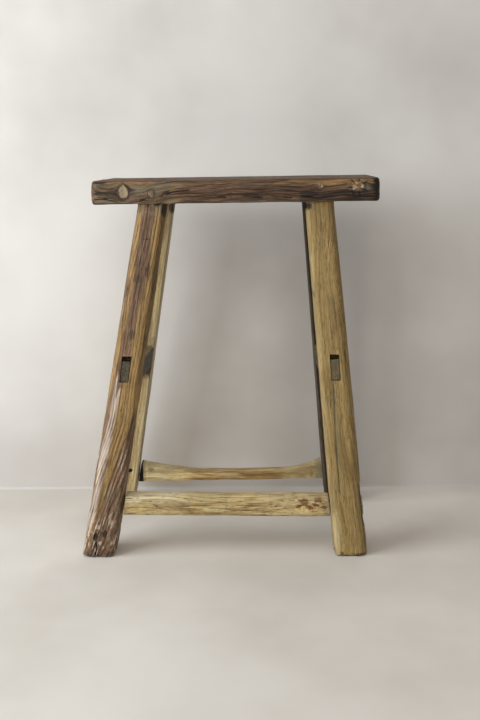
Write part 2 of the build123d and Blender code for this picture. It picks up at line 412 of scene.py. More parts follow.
# %% Timber
def timber(knots, half, radii, edge=1.0, spacing=1.0, line_spacing=None, arris_steps=6, stops=None):
    """A closed timber in its own frame, as (rows, lines, 3) points in millimetres, and its lines' sides.

    half(length) gives half its width and height, radii(length) its four arrises, and stops(length) the
    lines that it draws on each side. Its length is the third axis. An end's edge is a quarter circle: at
    angle t, a row stands edge (1 - sin t) in from the end and is drawn in by edge (1 - cos t). Past it, rows
    are drawn in evenly to the middle of the end.
    """
    turn = np.radians(np.linspace(90, 0, 5))
    round_in, drawn = edge * (1 - np.sin(turn)), edge * (1 - np.cos(turn))
    body = spread([knots[0] + edge, *knots[1:-1], knots[-1] - edge], spacing)[1:-1]
    rest = min(half(np.array([end])).min() for end in (knots[0], knots[-1])) - edge
    face = edge + rest * np.linspace(0.98, 0, max(3, math.ceil(rest / spacing)), endpoint=False)
    start, end = np.full(len(face), knots[0]), np.full(len(face), knots[-1])
    length = np.concatenate([start, knots[0] + round_in, body, knots[-1] - round_in[::-1], end])
    inset = np.concatenate([face, drawn, np.zeros(len(body)), drawn[::-1], face[::-1]])[:, None]
    size = half(length) - inset
    arris = np.clip(radii(length) - inset, 0.25 * radii(length), 0.9 * size.min(axis=1, keepdims=True))
    outline, side = section(size, arris, line_spacing or spacing, arris_steps, stops(length) if stops else {})
    return np.dstack([outline, np.broadcast_to(length[:, None], outline.shape[:2])]), side


def outward(points):
    """Unit normals of a closed grid: the cross product of its differences round it and along it."""
    normal = np.cross(np.roll(points, -1, 1) - np.roll(points, 1, 1), np.gradient(points, axis=0))
    return normal / np.maximum(np.linalg.norm(normal, axis=-1, keepdims=True), 1e-9)


def even(*sizes):
    """Sizes that are the same all along a timber, as a function of length."""
    return lambda length: np.tile(np.array(sizes, float), (len(length), 1))


trial, trial_side = timber([0, 20], even(5, 4), even(1, 1, 1, 1))
print("a 10 x 8 x 20 mm trial block has", trial.shape[0], "rows of", trial.shape[1], "lines")

# %% [markdown]
# ## From arrays to a piece
# A piece may hold more than one closed shell, as a stretcher is its bar and its tenons' ends. Each vertex
# carries where it is in the tree that the timber came from, which is what the wood's pattern reads, and
# five marks from 0 to 1: heart wood, grey weathering, pale wear, dark grime and cracks. In places the pale
# and grey marks also carry painted light, and the dark and crack marks carry painted shade.

# %% Pieces
MARKS = ("heart", "grey", "pale", "dark", "crack")


def shell(points, grain, **marks):
    """A closed shell: its points in the frame and in its tree, and its marks, all on one grid."""
    flat = {mark: np.broadcast_to(marks.get(mark, 0.0), points.shape[:2]) for mark in MARKS}
    return {"points": points, "grain": grain, **flat}


def with_poles(values):
    """A grid's values as one list, with one value more for each closed end, the mean of the row beside it."""
    flat = values.reshape(-1, *values.shape[2:])
    return np.concatenate([flat, values[:1].mean(axis=1), values[-1:].mean(axis=1)])


def shell_faces(rows, lines, first):
    """Quads between rows, which close round the grid, and a fan of triangles to the pole at each end."""
    index = first + np.arange(rows * lines).reshape(rows, lines)
    beside = np.roll(index, -1, axis=1)
    quads = np.stack([index[:-1], beside[:-1], beside[1:], index[1:]], -1).reshape(-1, 4)
    pole = np.full(lines, first + rows * lines)
    start = np.stack([pole, beside[0], index[0]], -1)
    end = np.stack([index[-1], beside[-1], pole + 1], -1)
    return quads.tolist() + start.tolist() + end.tolist()


def make_piece(name, node, shells, material, sharp=40):
    """Joins shells into one mesh with its attributes, hangs it under the root body, and hides the node it
    replaces.
    """
    faces, first = [], 0
    for part in shells:
        rows, lines = part["points"].shape[:2]
        faces += shell_faces(rows, lines, first)
        first += rows * lines + 2
    points = np.concatenate([with_poles(part["points"]) for part in shells])
    mesh = bpy.data.meshes.new(name)
    mesh.from_pydata((points * MM).tolist(), [], faces)
    grain = np.concatenate([with_poles(part["grain"]) for part in shells]).astype(np.float32)
    mesh.attributes.new("grain", "FLOAT_VECTOR", "POINT").data.foreach_set("vector", grain.ravel())
    for mark in MARKS:
        values = np.concatenate([with_poles(part[mark]) for part in shells]).astype(np.float32)
        mesh.attributes.new(mark, "FLOAT", "POINT").data.foreach_set("value", np.clip(values, 0, 1))
    mesh.shade_smooth()
    mesh.set_sharp_from_angle(angle=math.radians(sharp))
    mesh.materials.append(material)
    piece = bpy.data.objects.new(name, mesh)
    bpy.context.scene.collection.objects.link(piece)
    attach(piece, "root")
    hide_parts(node)
    low, high = node_box(node)
    off = np.abs(np.concatenate([points.min(0) - low, points.max(0) - high])).max()
    print(f"{name}: {len(mesh.polygons)} faces, within {off:.1f} mm of its node's box")


# %% [markdown]
# ## Wood
# All the timber is one kind of finish with different colours. Rings round a pith, which wanders along the
# tree, give the broad figure. Stretched noise gives streaks, fibres and pores. The pieces' marks bring in
# heart wood, weathering, wear, grime and cracks, and in places painted light and painted shade, each with
# an edge that is broken up by the fibres. It reads the place in the tree, not the place in the room, so the
# grain follows each leaning piece and bends round its knots, and end grain comes by itself.


# %% Wood finish
crack_black = (0.008, 0.006, 0.005, 1.0)
stain, bleach = (0.52, 0.46, 0.4, 1.0), (1.5, 1.42, 1.3, 1.0)  # colours that multiply the wood's


def attribute(tree, name, output="Fac"):
    """A piece's attribute as a wire."""
    return Wire.node(tree, "ShaderNodeAttribute", {"attribute_name": name}, output=output)


def wood(name, sap, heart, pale, grey, dark, pith=(40.0, 70.0), ring=4.5, contrast=1.0):
    """A wood finish, with pith, the tree's middle, and ring, a year's growth, in millimetres.

    sap and heart are each a light and a deep colour. The depth between them is the sum of streaks, late
    wood, fibres and hairlines, where late wood is where (distance from the pith / ring) has a high fraction.
    """
    material, tree, shader = new_finish(name)
    mark = {mark: attribute(tree, mark) for mark in MARKS}
    grain = attribute(tree, "grain", "Vector")
    fibre = grain.noise((0.9, 0.9, 26), 4.0).step(0.34, 0.66)
    streak = grain.noise((3.2, 3.2, 95), 4.0).step(0.38, 0.62)
    cloud = grain.noise((18, 18, 60), 3.0)
    hair = (grain.noise((2.4, 2.4, 70), 2.0) - 0.5).maths("ABSOLUTE").step(0.02, 0.0)
    hairline = hair * grain.noise((5, 5, 30), 2.0).step(0.45, 0.6)
    pore = grain.noise((0.7, 0.7, 7), 1.0).step(0.58, 0.7)
    drift = grain.noise((60, 60, 180), 1.0, output=1).vector("SUBTRACT", (0.5, 0.5, 0.5))
    bent = drift.vector("MULTIPLY", (34, 34, 0)).vector("ADD", grain)
    from_pith = bent.vector("SUBTRACT", (*pith, 0)).vector("MULTIPLY", (1, 1, 0))
    from_pith = from_pith.vector("LENGTH", (0, 0, 0), output=1)
    year = (from_pith / ring + fibre * 0.12).maths("FRACT")
    late = year.step(0.35, 0.9) * (1 - year.step(0.93, 1.0))

    depth = (streak * 0.4 + late * 0.5 + fibre * 0.32 + hairline * 0.6 - 0.6) * contrast + 0.4
    inside = (mark["heart"] + (fibre - 0.5) * 0.35).step(0.3, 0.7)
    sap_wood, heart_wood = (depth.mix(colour(*light), colour(*deep)) for light, deep in (sap, heart))
    surface = inside.mix(sap_wood, heart_wood)
    stained = (cloud.step(0.5, 0.66) * 0.5).mix(surface, stain, "MULTIPLY")
    bleached = (cloud.step(0.46, 0.34) * 0.35).mix(stained, bleach, "MULTIPLY")
    pitted = (pore * 0.45).mix(bleached, colour(*dark))
    # Pale and grey also carry painted light on some pieces, and dark and crack carry painted shade.
    worn = (mark["pale"] + (fibre - 0.5) * 0.6 * mark["pale"].step(0.0, 0.2)).step(0.15, 0.85)
    lightened = (worn * 0.9).mix(pitted, depth.mix(colour(*pale), surface))
    weathered = (mark["grey"] + (fibre - 0.5) * 0.8 * mark["grey"].step(0.0, 0.2)).step(0.15, 0.8)
    greyed = (weathered * 0.85).mix(lightened, (depth * 0.6).mix(colour(*grey), surface))
    grime_and_shade = (mark["dark"] + (fibre - 0.5) * 0.5 * mark["dark"].step(0.0, 0.2)).step(0.05, 0.95)
    darkened = (grime_and_shade * 0.95).mix(greyed, colour(*dark))
    finished = mark["crack"].step(0.15, 0.8).mix(darkened, crack_black)
    tree.links.new(finished.socket, shader.inputs["Base Color"])

    dull = fibre * 0.2 + pore * 0.12 + weathered * 0.1 - worn * 0.06 + 0.52
    tree.links.new(dull.socket, shader.inputs["Roughness"])
    shader.inputs["Specular IOR Level"].default_value = 0.35
    height = fibre * 0.8 + late * 0.3 - pore * 0.6 - hairline * 0.7 - mark["crack"] * 0.8
    relief = {"Strength": 0.8, "Distance": 0.7 * MM, "Height": height}
    bump = Wire.node(tree, "ShaderNodeBump", None, relief)
    tree.links.new(bump.socket, shader.inputs["Normal"])
    return material


print("a stain darkens red, green and blue to", stain[:3], "and bleaching lifts them to", bleach[:3])

# %% [markdown]
# ## Marks of work and weather
# Wear isn't spread evenly. It sits on the arrises, along the grain and round the joints, so it's worked out
# where the shape is known, on the grid. Each helper below returns an array over the grid, either a depth in
# millimetres, for the shape, or a mark from 0 to 1, for the finish.


# %% Helpers for wear
def near_arris(points, side, reach=4.0):
    """1 on the lines of an arris, falling to 0 over reach millimetres, measured round the middle row."""
    row = points[len(points) // 2, :, :2]
    apart = np.linalg.norm(row[:, None] - row[None, side >= 4], axis=-1)
    return smooth(1 - apart.min(axis=1) / reach)


def hewn(points, side, seed, waves=0.7, ripples=0.25, arris=0.6):
    """How far in hand tools and wear took a surface: slow waves, ripples along the grain and worn arrises."""
    slow = waves * (noise(points, (26, 26, 90), seed, 2) + 0.45)
    fine = ripples * (noise(points, (3.0, 3.0, 46), seed + 10, 2) + 0.45)
    worn = arris * near_arris(points, side) * (noise(points, (7, 7, 26), seed + 20) + 0.4)
    return np.clip(slow, 0, None) + np.clip(fine, 0, None) + np.clip(worn, 0, None)


def facing(normal, axis, sign):
    """1 where a surface faces along an axis, and 0 from about 60 degrees away."""
    return smooth((sign * normal[..., axis] - 0.5) / 0.3)


print("tools and wear take up to", hewn(trial, trial_side, 1).max().round(2), "mm off the trial block")

# %% [markdown]
# A knot, a stain or a crack has a place of its own on a face. A spot is an ellipse, a line is a thin streak
# and a route is a crack that bends. The strongest of them wins, so two marks that overlap don't add up.


# %% Marks on a face
def spot(u, v, centre, size):
    """1 in the inner half of an ellipse on a face, falling to 0 at its rim."""
    return smooth(2 - 2 * np.hypot((u - centre[0]) / size[0], (v - centre[1]) / size[1]))


def line(u, v, start, end, width):
    """1 along a line on a face and 0 outside its width, which narrows towards both of its ends."""
    way = np.subtract(end, start)
    share = np.clip(((u - start[0]) * way[0] + (v - start[1]) * way[1]) / (way @ way), 0, 1)
    off = np.hypot(u - start[0] - share * way[0], v - start[1] - share * way[1])
    half_width = width / 2 * (0.25 + 0.75 * np.sqrt(4 * share * (1 - share)))
    return smooth(1.6 * (1 - off / (half_width + 0.5)))


def route(u, v, places, width):
    """The strongest of the lines that join a row of places, so that a crack can bend."""
    return np.max([line(u, v, start, end, width) for start, end in zip(places, places[1:])], axis=0)


def band(x, low, high, soft=1.5):
    """1 between two borders and 0 beyond them, with soft edges."""
    return smooth((x - low) / soft + 0.5) * smooth((high - x) / soft + 0.5)


def strongest(*marks):
    """The highest of several marks at each point."""
    return functools.reduce(np.maximum, marks)


print("a band is", band(np.array([0.0, 5.0, 10.0]), 2, 8).round(2), "at 0, 5 and 10, between 2 and 8")


# %% Grain round a knot
def round_knot(across, along, centre, size):
    """The place across the grain, moved as water goes round a post: u - u / max(d², 1), d from a knot."""
    u = across - centre[0]
    far = (u / size[0]) ** 2 + ((along - centre[1]) / size[1]) ** 2
    return across - u / np.maximum(far, 1)


def flowing(points, knots):
    """The points with their height across the grain moved round knots, as (centre, size) on a front face."""
    grain = points.copy()
    for centre, size in knots:
        grain[..., 1] = round_knot(grain[..., 1], points[..., 2], centre, size)
    return grain


print("a knot 5 mm wide moves the grain beside it by", -round_knot(5.0, 0.0, (0, 0), (5, 5)) + 5.0, "mm")

# %% [markdown]
# ## Legs
# A leg is one riven and drawknifed pole, square with an outer corner that follows the round of the tree, and
# thicker at its foot. Its centre runs down a straight line, which is read from the frame: a leg's box touches
# its foot's outer corner and its shoulder's inner one. A lofted solid would be too clean, so the sections are
# swept as a grid and the tool marks are pushed into it.

# %% Leg shape
shoulder = node_box("seat")[0][2]
leg_foot_half, leg_top_half = 23, 19
leg_radius = (4, 8, 12.5)  # of the inner arris, the two side ones and the outer one
foot_edge = 2.5


def leg_half(height):
    """Half the width of a leg's square section, from its foot to its shoulder."""
    return leg_foot_half + (leg_top_half - leg_foot_half) * np.asarray(height, float) / shoulder


def leg_centre(side, end, height):
    """Centre of a leg's section at a height, as (..., 2), on the line from its shoulder to its foot."""
    low, high = (corner[:2] for corner in node_box(f"leg_{end}_{side}"))
    away = np.array([SIDES[side], ENDS[end]])
    foot = np.where(away > 0, high, low) - away * leg_half(foot_edge)
    top = np.where(away > 0, low, high) + away * leg_half(shoulder)
    share = (shoulder - np.asarray(height, float)) / (shoulder - foot_edge)
    return top + (foot - top) * share[..., None]


def leg_radii(side, end):
    """Radii of a leg's four arrises, by how many of a corner's two sides face away."""
    away = (CORNERS == (SIDES[side], ENDS[end])).sum(axis=1)
    return np.array(leg_radius, float)[away]


print("shoulder at", round(shoulder, 1), "mm, front left foot at", leg_centre("left", "front", 0).round(1))

# %% [markdown]
# ## Stretchers in their own frames
# A stretcher's own third axis runs along it, its first across it and its second up. The side ones fall
# towards the back and lean part of the way with their legs. The cross ones are nearly level.

# %% Stretcher frames
side_height, side_fall, side_lean_share = 245, 3.5, 0.8
cross_bottom = {"front": 51.5, "rear": 36}
cross_size = {"front": (26, 29), "rear": (24, 31)}
cross_tilt = {"front": -0.8, "rear": 0.7}


def splay(side):
    """The angle at which a side's legs lean outwards."""
    run = leg_centre(side, "front", 0)[0] - leg_centre(side, "front", shoulder)[0]
    return math.atan(abs(run) / shoulder)


def side_frame(side):
    """Origin and axes, as rows, of a side stretcher: across it, up it and along it to the front."""
    fall = math.radians(side_fall)
    lean = SIDES[side] * splay(side) * side_lean_share
    across = (math.cos(lean), math.sin(lean) * math.sin(fall), math.sin(lean) * math.cos(fall))
    along = (0, -math.cos(fall), math.sin(fall))
    axes = np.array([across, np.cross(along, across), along])
    return np.array([leg_centre(side, "front", side_height)[0], 0, side_height]), axes


def cross_frame(end):
    """Origin and axes, as rows, of a cross stretcher: to the back, up it and along it to the right."""
    height = cross_bottom[end] + cross_size[end][1] / 2
    left, right = leg_centre("left", end, height), leg_centre("right", end, height)
    tilt = math.radians(cross_tilt[end])
    along = (math.cos(tilt), 0, math.sin(tilt))
    axes = np.array([(0, 1, 0), np.cross(along, (0, 1, 0)), along])
    return np.array([(left[0] + right[0]) / 2, left[1], height]), axes


def placed(points, place):
    """A piece's own points, put where its origin and axes are in the frame."""
    origin, axes = place
    return origin + points @ axes


print("the legs lean", [round(math.degrees(splay(side)), 2) for side in SIDES], "degrees, left and right")

# %% [markdown]
# ## Mortises
# A side stretcher's tenon shows on the front of a front leg and on the back of a rear one, and a cross
# stretcher's on the outer face of each leg that it joins. Each is a pocket: between its borders the
# surface is set back, and the tenon's end stands in it with a hair of shadow round it.

# %% Mortise places
side_tenon = (11.0, 27.5)
side_slot = 6.2
cross_tenon = (12, 24)
clearance = 0.5
side_pocket, cross_pocket = 15, 4


def side_mortise(side, end, height):
    """A side stretcher's mortise on a leg: left and right borders at each height, its foot and its top."""
    origin, axes = side_frame(side)
    face = leg_centre(side, end, side_height)[1] + ENDS[end] * leg_half(side_height)
    middle = origin + axes[2] * (face - origin[1]) / axes[2][1]
    lean = axes[1][0] / axes[1][2]
    centre = middle[0] + (height - middle[2]) * lean - leg_centre(side, end, height)[..., 0]
    half_wide = side_tenon[0] / 2 + clearance
    low = middle[2] - side_tenon[1] / 2 - clearance
    return centre - half_wide, centre + half_wide, low, low + side_tenon[1] + clearance + side_slot


def cross_mortise(side, end):
    """A cross stretcher's mortise on a leg's outer face: half its width, its foot and its top."""
    origin, axes = cross_frame(end)
    face = leg_centre(side, end, origin[2])[0] + SIDES[side] * leg_half(origin[2])
    middle = origin + axes[2] * (face - origin[0]) / axes[2][0]
    half_high = cross_tenon[1] / 2 + clearance
    return cross_tenon[0] / 2 + clearance, middle[2] - half_high, middle[2] + half_high


print("mortise foot and top, front left:", np.round(side_mortise("left", "front", side_height)[2:], 1))

# %% [markdown]
# ## A leg and its mortises
# The grid of a leg has rows exactly beside the foot and the top of each mortise, and lines exactly beside its
# left and right borders. The faces between such a pair of lines become the mortise's walls when the surface
# inside is set back. A Boolean would cut the same pocket but leave long thin faces round it.

# %% Leg grid
leg_spacing = 0.95
mortise_margin = 30  # how far above and below a mortise its border lines still lean with it
leg_into_seat = 1.5


def leg_blank(side, end):
    """A leg's smooth grid in its own frame, its lines' sides, and where its two mortises are on it."""
    low, high = side_mortise(side, end, side_height)[2:]
    half_wide, foot, top = cross_mortise(side, end)
    side_face = 2 if end == "front" else 0
    cross_face = 1 if side == "left" else 3

    def stops(z):
        """The lines beside the mortises' borders at each height, kept on the flat part of their faces."""
        near = np.clip(z, low - mortise_margin, high + mortise_margin)
        left, right = side_mortise(side, end, near)[:2]
        flat = leg_half(z) - leg_radius[-1] - 1
        wide = np.minimum(half_wide, flat)
        beside = borders(np.maximum(left, -flat), np.minimum(right, flat))
        return {side_face: beside, cross_face: borders(-wide, wide)}

    points, line_side = timber(
        [0, *borders(foot, top), *borders(low, high), shoulder + leg_into_seat],
        lambda z: np.repeat(leg_half(z)[:, None], 2, 1),
        lambda z: np.tile(leg_radii(side, end), (len(z), 1)),
        foot_edge, leg_spacing, arris_steps=7, stops=stops,
    )
    a, b, z = np.moveaxis(points, -1, 0)
    left, right = side_mortise(side, end, z)[:2]
    in_side = (line_side == side_face) & (a > left) & (a < right) & (z > low) & (z < high)
    in_cross = (line_side == cross_face) & (np.abs(b) < half_wide) & (z > foot) & (z < top)
    return points, line_side, in_side, in_cross


blank, _, in_side, in_cross = leg_blank("left", "front")
print("a leg's grid is", blank.shape[:2], "with", in_side.sum() + in_cross.sum(), "points in its mortises")

# %% [markdown]
# A finished leg is that grid with its wear pushed in along the normals, its pockets sunk, and each section
# moved to its centre on the splay last of all. Wear is worked out before that, so that a mark can be placed
# on an upright face by how far it is across it, a, and how high, z.

# %% Leg piece
LEG_APART = np.array([131.0, 77.0, 311.0])  # from one leg to the next in the tree
foot_wear_height = 26
shoulder_fade, shoulder_spared = 3, 0.8  # the height under the seat that is spared this share of wear
# How dark a mortise's pocket is painted: painted shade in the recess round a tenon's end.
mortise_painted_shade = 0.9


def leg_piece(side, end, seed, material, shape, marks, tree_place=np.copy):
    """One leg: its pole, worn, marked and with its mortises sunk, and the tenon that stands on its top.

    shape(points, normal) gives more depth, in millimetres, and marks(points, normal) gives the marks.
    """
    points, line_side, in_side, in_cross = leg_blank(side, end)
    normal = outward(points)
    z = points[..., 2]
    move = seed * LEG_APART
    foot_wear = smooth((foot_wear_height - z) / foot_wear_height)
    foot_wear = foot_wear * (1.1 + 1.6 * noise(points, (8, 8, 10), seed + 30))
    depth = hewn(points, line_side, seed) + np.clip(foot_wear, 0, None) + shape(points, normal)
    depth = depth * (1 - shoulder_spared * smooth((z - shoulder + shoulder_fade) / shoulder_fade))
    worn = points - normal * depth[..., None]
    worn[in_side, 1] = points[in_side, 1] - ENDS[end] * side_pocket
    worn[in_cross, 0] = points[in_cross, 0] - SIDES[side] * cross_pocket
    worn[..., 2] = np.clip(worn[..., 2], 0, None)
    worn[..., :2] += leg_centre(side, end, worn[..., 2])
    found = marks(points, normal)
    # The mortise pockets are painted dark as the shade inside them.
    found["dark"] = np.maximum(found["dark"], mortise_painted_shade * (in_side | in_cross))
    node = f"leg_{end}_{side}"
    pole = shell(worn, move + tree_place(points), **found)
    make_piece(f"{node}_pole", node, [pole, *leg_tenon_halves(side, end, move, seed)], material)


print("a foot is worn over its last", foot_wear_height, "mm")

# %% [markdown]
# ## Bars and tenons
# A stretcher is a bar whose shoulders are scribed to its legs, with a thinner tenon that goes on through each
# leg. Both are timbers whose ends are moved onto the planes of the legs' faces. Any point of a bar keeps its
# share of the way between the two planes, so no cut is needed. A small gap at a shoulder gives the dark
# line of a joint that has shrunk.


# %% Bars between planes
def leg_face(side, end, axis, sign):
    """The plane of a leg's face, as its normal n and the value of n . p on it. The face is straight in z."""
    low, high = (leg_centre(side, end, z)[axis] + sign * leg_half(z) for z in (0.0, shoulder))
    normal = np.eye(3)[axis] - np.array([0, 0, (high - low) / shoulder])
    return normal, low


def reach(points, place, plane, gap=0.0):
    """How far along its own length a bar meets a plane, for each of its points, less a gap."""
    (origin, axes), (normal, value) = place, plane
    met = (value - normal @ origin - points[..., :2] @ (axes[:2] @ normal)) / (axes[2] @ normal)
    return met - gap * np.sign(met)


def bar_between(place, half, radii, planes, gaps=(0, 0), **form):
    """A timber in a stretcher's own frame that runs from one plane to another, with its lines' sides."""
    middle = np.zeros((1, 3))
    low, high = (float(reach(middle, place, plane, gap)[0]) for plane, gap in zip(planes, gaps))
    points, side = timber([low, high], half, radii, **form)
    start, stop = (reach(points, place, plane, gap) for plane, gap in zip(planes, gaps))
    points[..., 2] = start + (points[..., 2] - low) / (high - low) * (stop - start)
    return points, side


def tenon_end(place, size, plane, depth, recess, grain_move, seed, rise=0.0, **marks):
    """The last stretch of a tenon: a worn block that ends a recess behind a leg's face.

    It starts square, depth further in, and each point takes its share of the move onto the slanted plane.
    """
    middle = np.array([[0.0, rise, 0.0]])
    end = float(reach(middle, place, plane, recess)[0])
    start = end - math.copysign(depth, end)
    knots = sorted([start, end])
    points, side = timber(knots, even(size[0] / 2, size[1] / 2), even(0.8, 0.8, 0.8, 0.8), 0.5, 0.9, None, 3)
    points[..., 1] += rise
    moved = reach(points, place, plane, recess) - end
    share = (points[..., 2] - start) / (end - start)
    points[..., 2] += moved * np.clip(share, 0, 1)
    depth_in = 0.35 * (noise(points, (3, 3, 6), seed) + 0.6)
    worn = points - outward(points) * np.clip(depth_in, 0, None)[..., None]
    return shell(placed(worn, place), points + grain_move, **marks)


print("the front left leg's front face:", [np.round(part, 3) for part in leg_face("left", "front", 1, -1)])

# %% [markdown]
# ## Side stretchers
# These join the legs front to back at mid height, and are nearly as thick as the legs. They fall towards the
# back. Their through tenons show on the legs' faces, each with a wedge sunk in the mortise above it.

# %% Side stretchers
STRETCHER_APART = np.array([91.0, 43.0, 207.0])  # from one stretcher to the next in the tree
side_body = (38, 30)
side_radii = even(3, 3, 3, 3)
side_tenon_depth = side_pocket + 5  # a tenon's end starts a little behind the floor of its pocket
side_tenon_recess = {"left": 1.6, "right": 0.5}
side_tenon_marks = {"left": {"grey": 0.8, "dark": 0.5}, "right": {"grey": 0.45, "dark": 0.25}}
side_wedge_recess = {"front": 9.0, "rear": 1.0}
side_wedge_size = (side_tenon[0] - 0.6, 4.8)
side_wedge_depth = 26
side_joint_shade = (62, 12)  # where the painted shade near a joint begins, from the bar's middle, and over what length
side_wedge_rise = (side_tenon[1] + 5.4) / 2  # from a tenon's middle to its wedge's
WEDGE_APART = np.full(3, 37.0)  # from one wedge to the next in the tree


def side_stretcher(side, seed, material):
    """A side stretcher: its bar between the inner faces of its legs, and the two ends of its tenon."""
    place = side_frame(side)
    inner = [leg_face(side, end, 1, -ENDS[end]) for end in ("rear", "front")]
    half = even(side_body[0] / 2, side_body[1] / 2)
    points, line_side = bar_between(place, half, side_radii, inner, (0.5, 0.5), edge=0.8, spacing=1.3)
    depth = hewn(points, line_side, seed)
    move = seed * STRETCHER_APART
    normal = outward(points)
    wear = near_arris(points, line_side) * smooth(noise(points, (8, 8, 40), seed + 3) + 0.5)
    joint = smooth((np.abs(points[..., 2]) - side_joint_shade[0]) / side_joint_shade[1])
    # The ends near the legs and the inner face, towards the stool's middle, are painted dark: painted shade.
    shaded = np.maximum(0.5 * joint, 0.7 * facing(normal, 0, -SIDES[side]))
    worn = points - normal * depth[..., None]
    shells = [shell(placed(worn, place), points + move, pale=0.4 * wear, dark=shaded)]
    for end in ENDS:
        outer = leg_face(side, end, 1, ENDS[end])
        recess, found = side_tenon_recess[side], side_tenon_marks[side]
        shells.append(tenon_end(place, side_tenon, outer, side_tenon_depth, recess, move, seed, **found))
    make_piece(f"side_stretcher_{side}", f"stretcher_{side}", shells, material)


def side_wedge_piece(side, end, seed, material):
    """The wedge above a side stretcher's tenon, a block as wide as the tenon."""
    outer = leg_face(side, end, 1, ENDS[end])
    wedge = tenon_end(
        side_frame(side), side_wedge_size, outer, side_wedge_depth, side_wedge_recess[end],
        seed * WEDGE_APART, seed, rise=side_wedge_rise, dark=0.5,
    )
    make_piece(f"side_wedge_{end}_{side}_block", f"side_wedge_{end}_{side}", [wedge], material)


print("side stretchers lean", [round(math.degrees(splay(side)) * side_lean_share, 2) for side in SIDES])

# %% [markdown]
# ## Front and rear stretchers
# The front one is a rounded bar near the floor. The rear one has been cut or worn hollow along its top, which
# is a change of its height along its length: each point keeps its share of the height.

# %% Cross stretchers
cross_radii = {"front": (6, 6, 5, 5), "rear": (2.5, 2.5, 3.5, 3.5)}
cross_gap = {"front": (1.7, 0.5), "rear": (1.2, 0.5)}  # at the left and right shoulder
cross_wear = {"waves": 0.3, "ripples": 0.3, "arris": 0.6}
cross_tenon_depth, cross_tenon_recess = cross_pocket + 6, 0.4
cross_tenon_marks = {"dark": 0.25, "grey": 0.3}


def hollow_height(length, left, right):
    """Height of the rear stretcher along its length: cubic curves through four places, with their slopes."""
    x = np.array([left, left + 80, 45, right])
    height = np.array([31.0, 17, 14, 31])
    slope = np.array([-0.2, -0.1, 0.02, 0.6])
    k = np.clip(np.searchsorted(x, length) - 1, 0, 2)
    run = x[k + 1] - x[k]
    t = np.clip((length - x[k]) / run, 0, 1)
    bend = (1 - t) * slope[k] - t * slope[k + 1] + (2 * t - 1) * (height[k + 1] - height[k]) / run
    return height[k] * (1 - t) + height[k + 1] * t + t * (1 - t) * run * bend


def cross_stretcher(end, seed, material, marks):
    """A cross stretcher: its bar between the inner faces of its legs, and the two ends of its tenon."""
    place = cross_frame(end)
    inner = [leg_face(side, end, 0, -SIDES[side]) for side in SIDES]
    half = even(cross_size[end][0] / 2, cross_size[end][1] / 2)
    radii = even(*cross_radii[end])
    points, line_side = bar_between(place, half, radii, inner, cross_gap[end], edge=1.2)
    if end == "rear":
        low, high = points[..., 2].min(), points[..., 2].max()
        bottom = -cross_size[end][1] / 2
        share = hollow_height(points[..., 2], low, high) / cross_size[end][1]
        points[..., 1] = bottom + (points[..., 1] - bottom) * share
    normal = outward(points)
    move = seed * STRETCHER_APART
    grain, found = marks(points, normal)
    worn = points - normal * hewn(points, line_side, seed, **cross_wear)[..., None]
    shells = [shell(placed(worn, place), grain + move, **found)]
    for side in SIDES:
        outer = leg_face(side, end, 0, SIDES[side])
        tenon = tenon_end(
            place, cross_tenon, outer, cross_tenon_depth, cross_tenon_recess, move, seed, **cross_tenon_marks
        )
        shells.append(tenon)
    make_piece(f"cross_stretcher_{end}", f"stretcher_{end}", shells, material)


heights = hollow_height(np.array([-100, 0, 100]), -140, 140)
print("the rear stretcher's height at -100, 0 and 100 mm:", heights.round(1))

# %% [markdown]
# ## Wedges and pegs
# The front stretcher's tenons are spread by a flat wedge in each end, and a peg goes through each rear leg.
# A wedge is the end of a thin tenon, so the function that makes tenons makes it too. A peg is a timber whose
# four arrises are so round that they meet, which gives a rod with the same closed ends.

# %% Front wedges and rear pegs
PEG_APART = 29.0  # from one peg to the next in the tree
peg_roundness = 0.98  # an arris's radius as a share of the peg's
peg_wear = 0.12
front_wedge_size = (cross_tenon[0], 3.4)
front_wedge_depth, front_wedge_recess = 12, 0.15


def front_wedge_piece(side, seed, material):
    """The wedge that lies flat across the end of the front stretcher's tenon, a hair proud of it."""
    outer = leg_face(side, "front", 0, SIDES[side])
    wedge = tenon_end(
        cross_frame("front"), front_wedge_size, outer, front_wedge_depth, front_wedge_recess,
        seed * WEDGE_APART, seed, pale=0.3,
    )
    make_piece(f"front_wedge_{side}_block", f"front_wedge_{side}", [wedge], material)


def peg_piece(side, seed, material):
    """A round, darkened peg through a rear leg: a timber whose four arrises meet."""
    low, high = node_box(f"rear_peg_{side}")
    centre = (low + high) / 2
    radius = (high[0] - low[0]) / 2
    half_length = (high[1] - low[1]) / 2
    round_off = even(*[radius * peg_roundness] * 4)
    points, _ = timber([-half_length, half_length], even(radius, radius), round_off, 0.4, 0.7, 0.5, 6)
    worn = points - outward(points) * (peg_wear * (noise(points, (1.5, 1.5, 4), seed) + 0.7))[..., None]
    turned = np.stack([worn[..., 0], -worn[..., 2], worn[..., 1]], -1) + centre
    peg = shell(turned, points + seed * PEG_APART, dark=0.8, crack=0.3)
    make_piece(f"rear_peg_{side}_pin", f"rear_peg_{side}", [peg], material)


print("a peg's box:", np.round(np.subtract(*node_box("rear_peg_left")[::-1]), 1), "mm")

# %% [markdown]
# ## Seat
# One plank, dark with age, that all four legs' tenons pass through. Its ends' corners are rounded in plan,
# which a change of its depth along its length gives, and its top has a pocket for each leg's tenon.

# %% Seat
seat_low, seat_high = node_box("seat")
seat_middle = (seat_low + seat_high) / 2
seat_half_length, seat_half_depth, seat_half_thick = (seat_high - seat_low) / 2
seat_corner, seat_edge = 9.0, 4.5
seat_tenon = (28, 13)
seat_pocket = 4
seat_wear = {"waves": 0.6, "ripples": 0.35, "arris": 1.1}
SEAT_APART = 53.0  # how far each step of the seed moves the seat in the tree


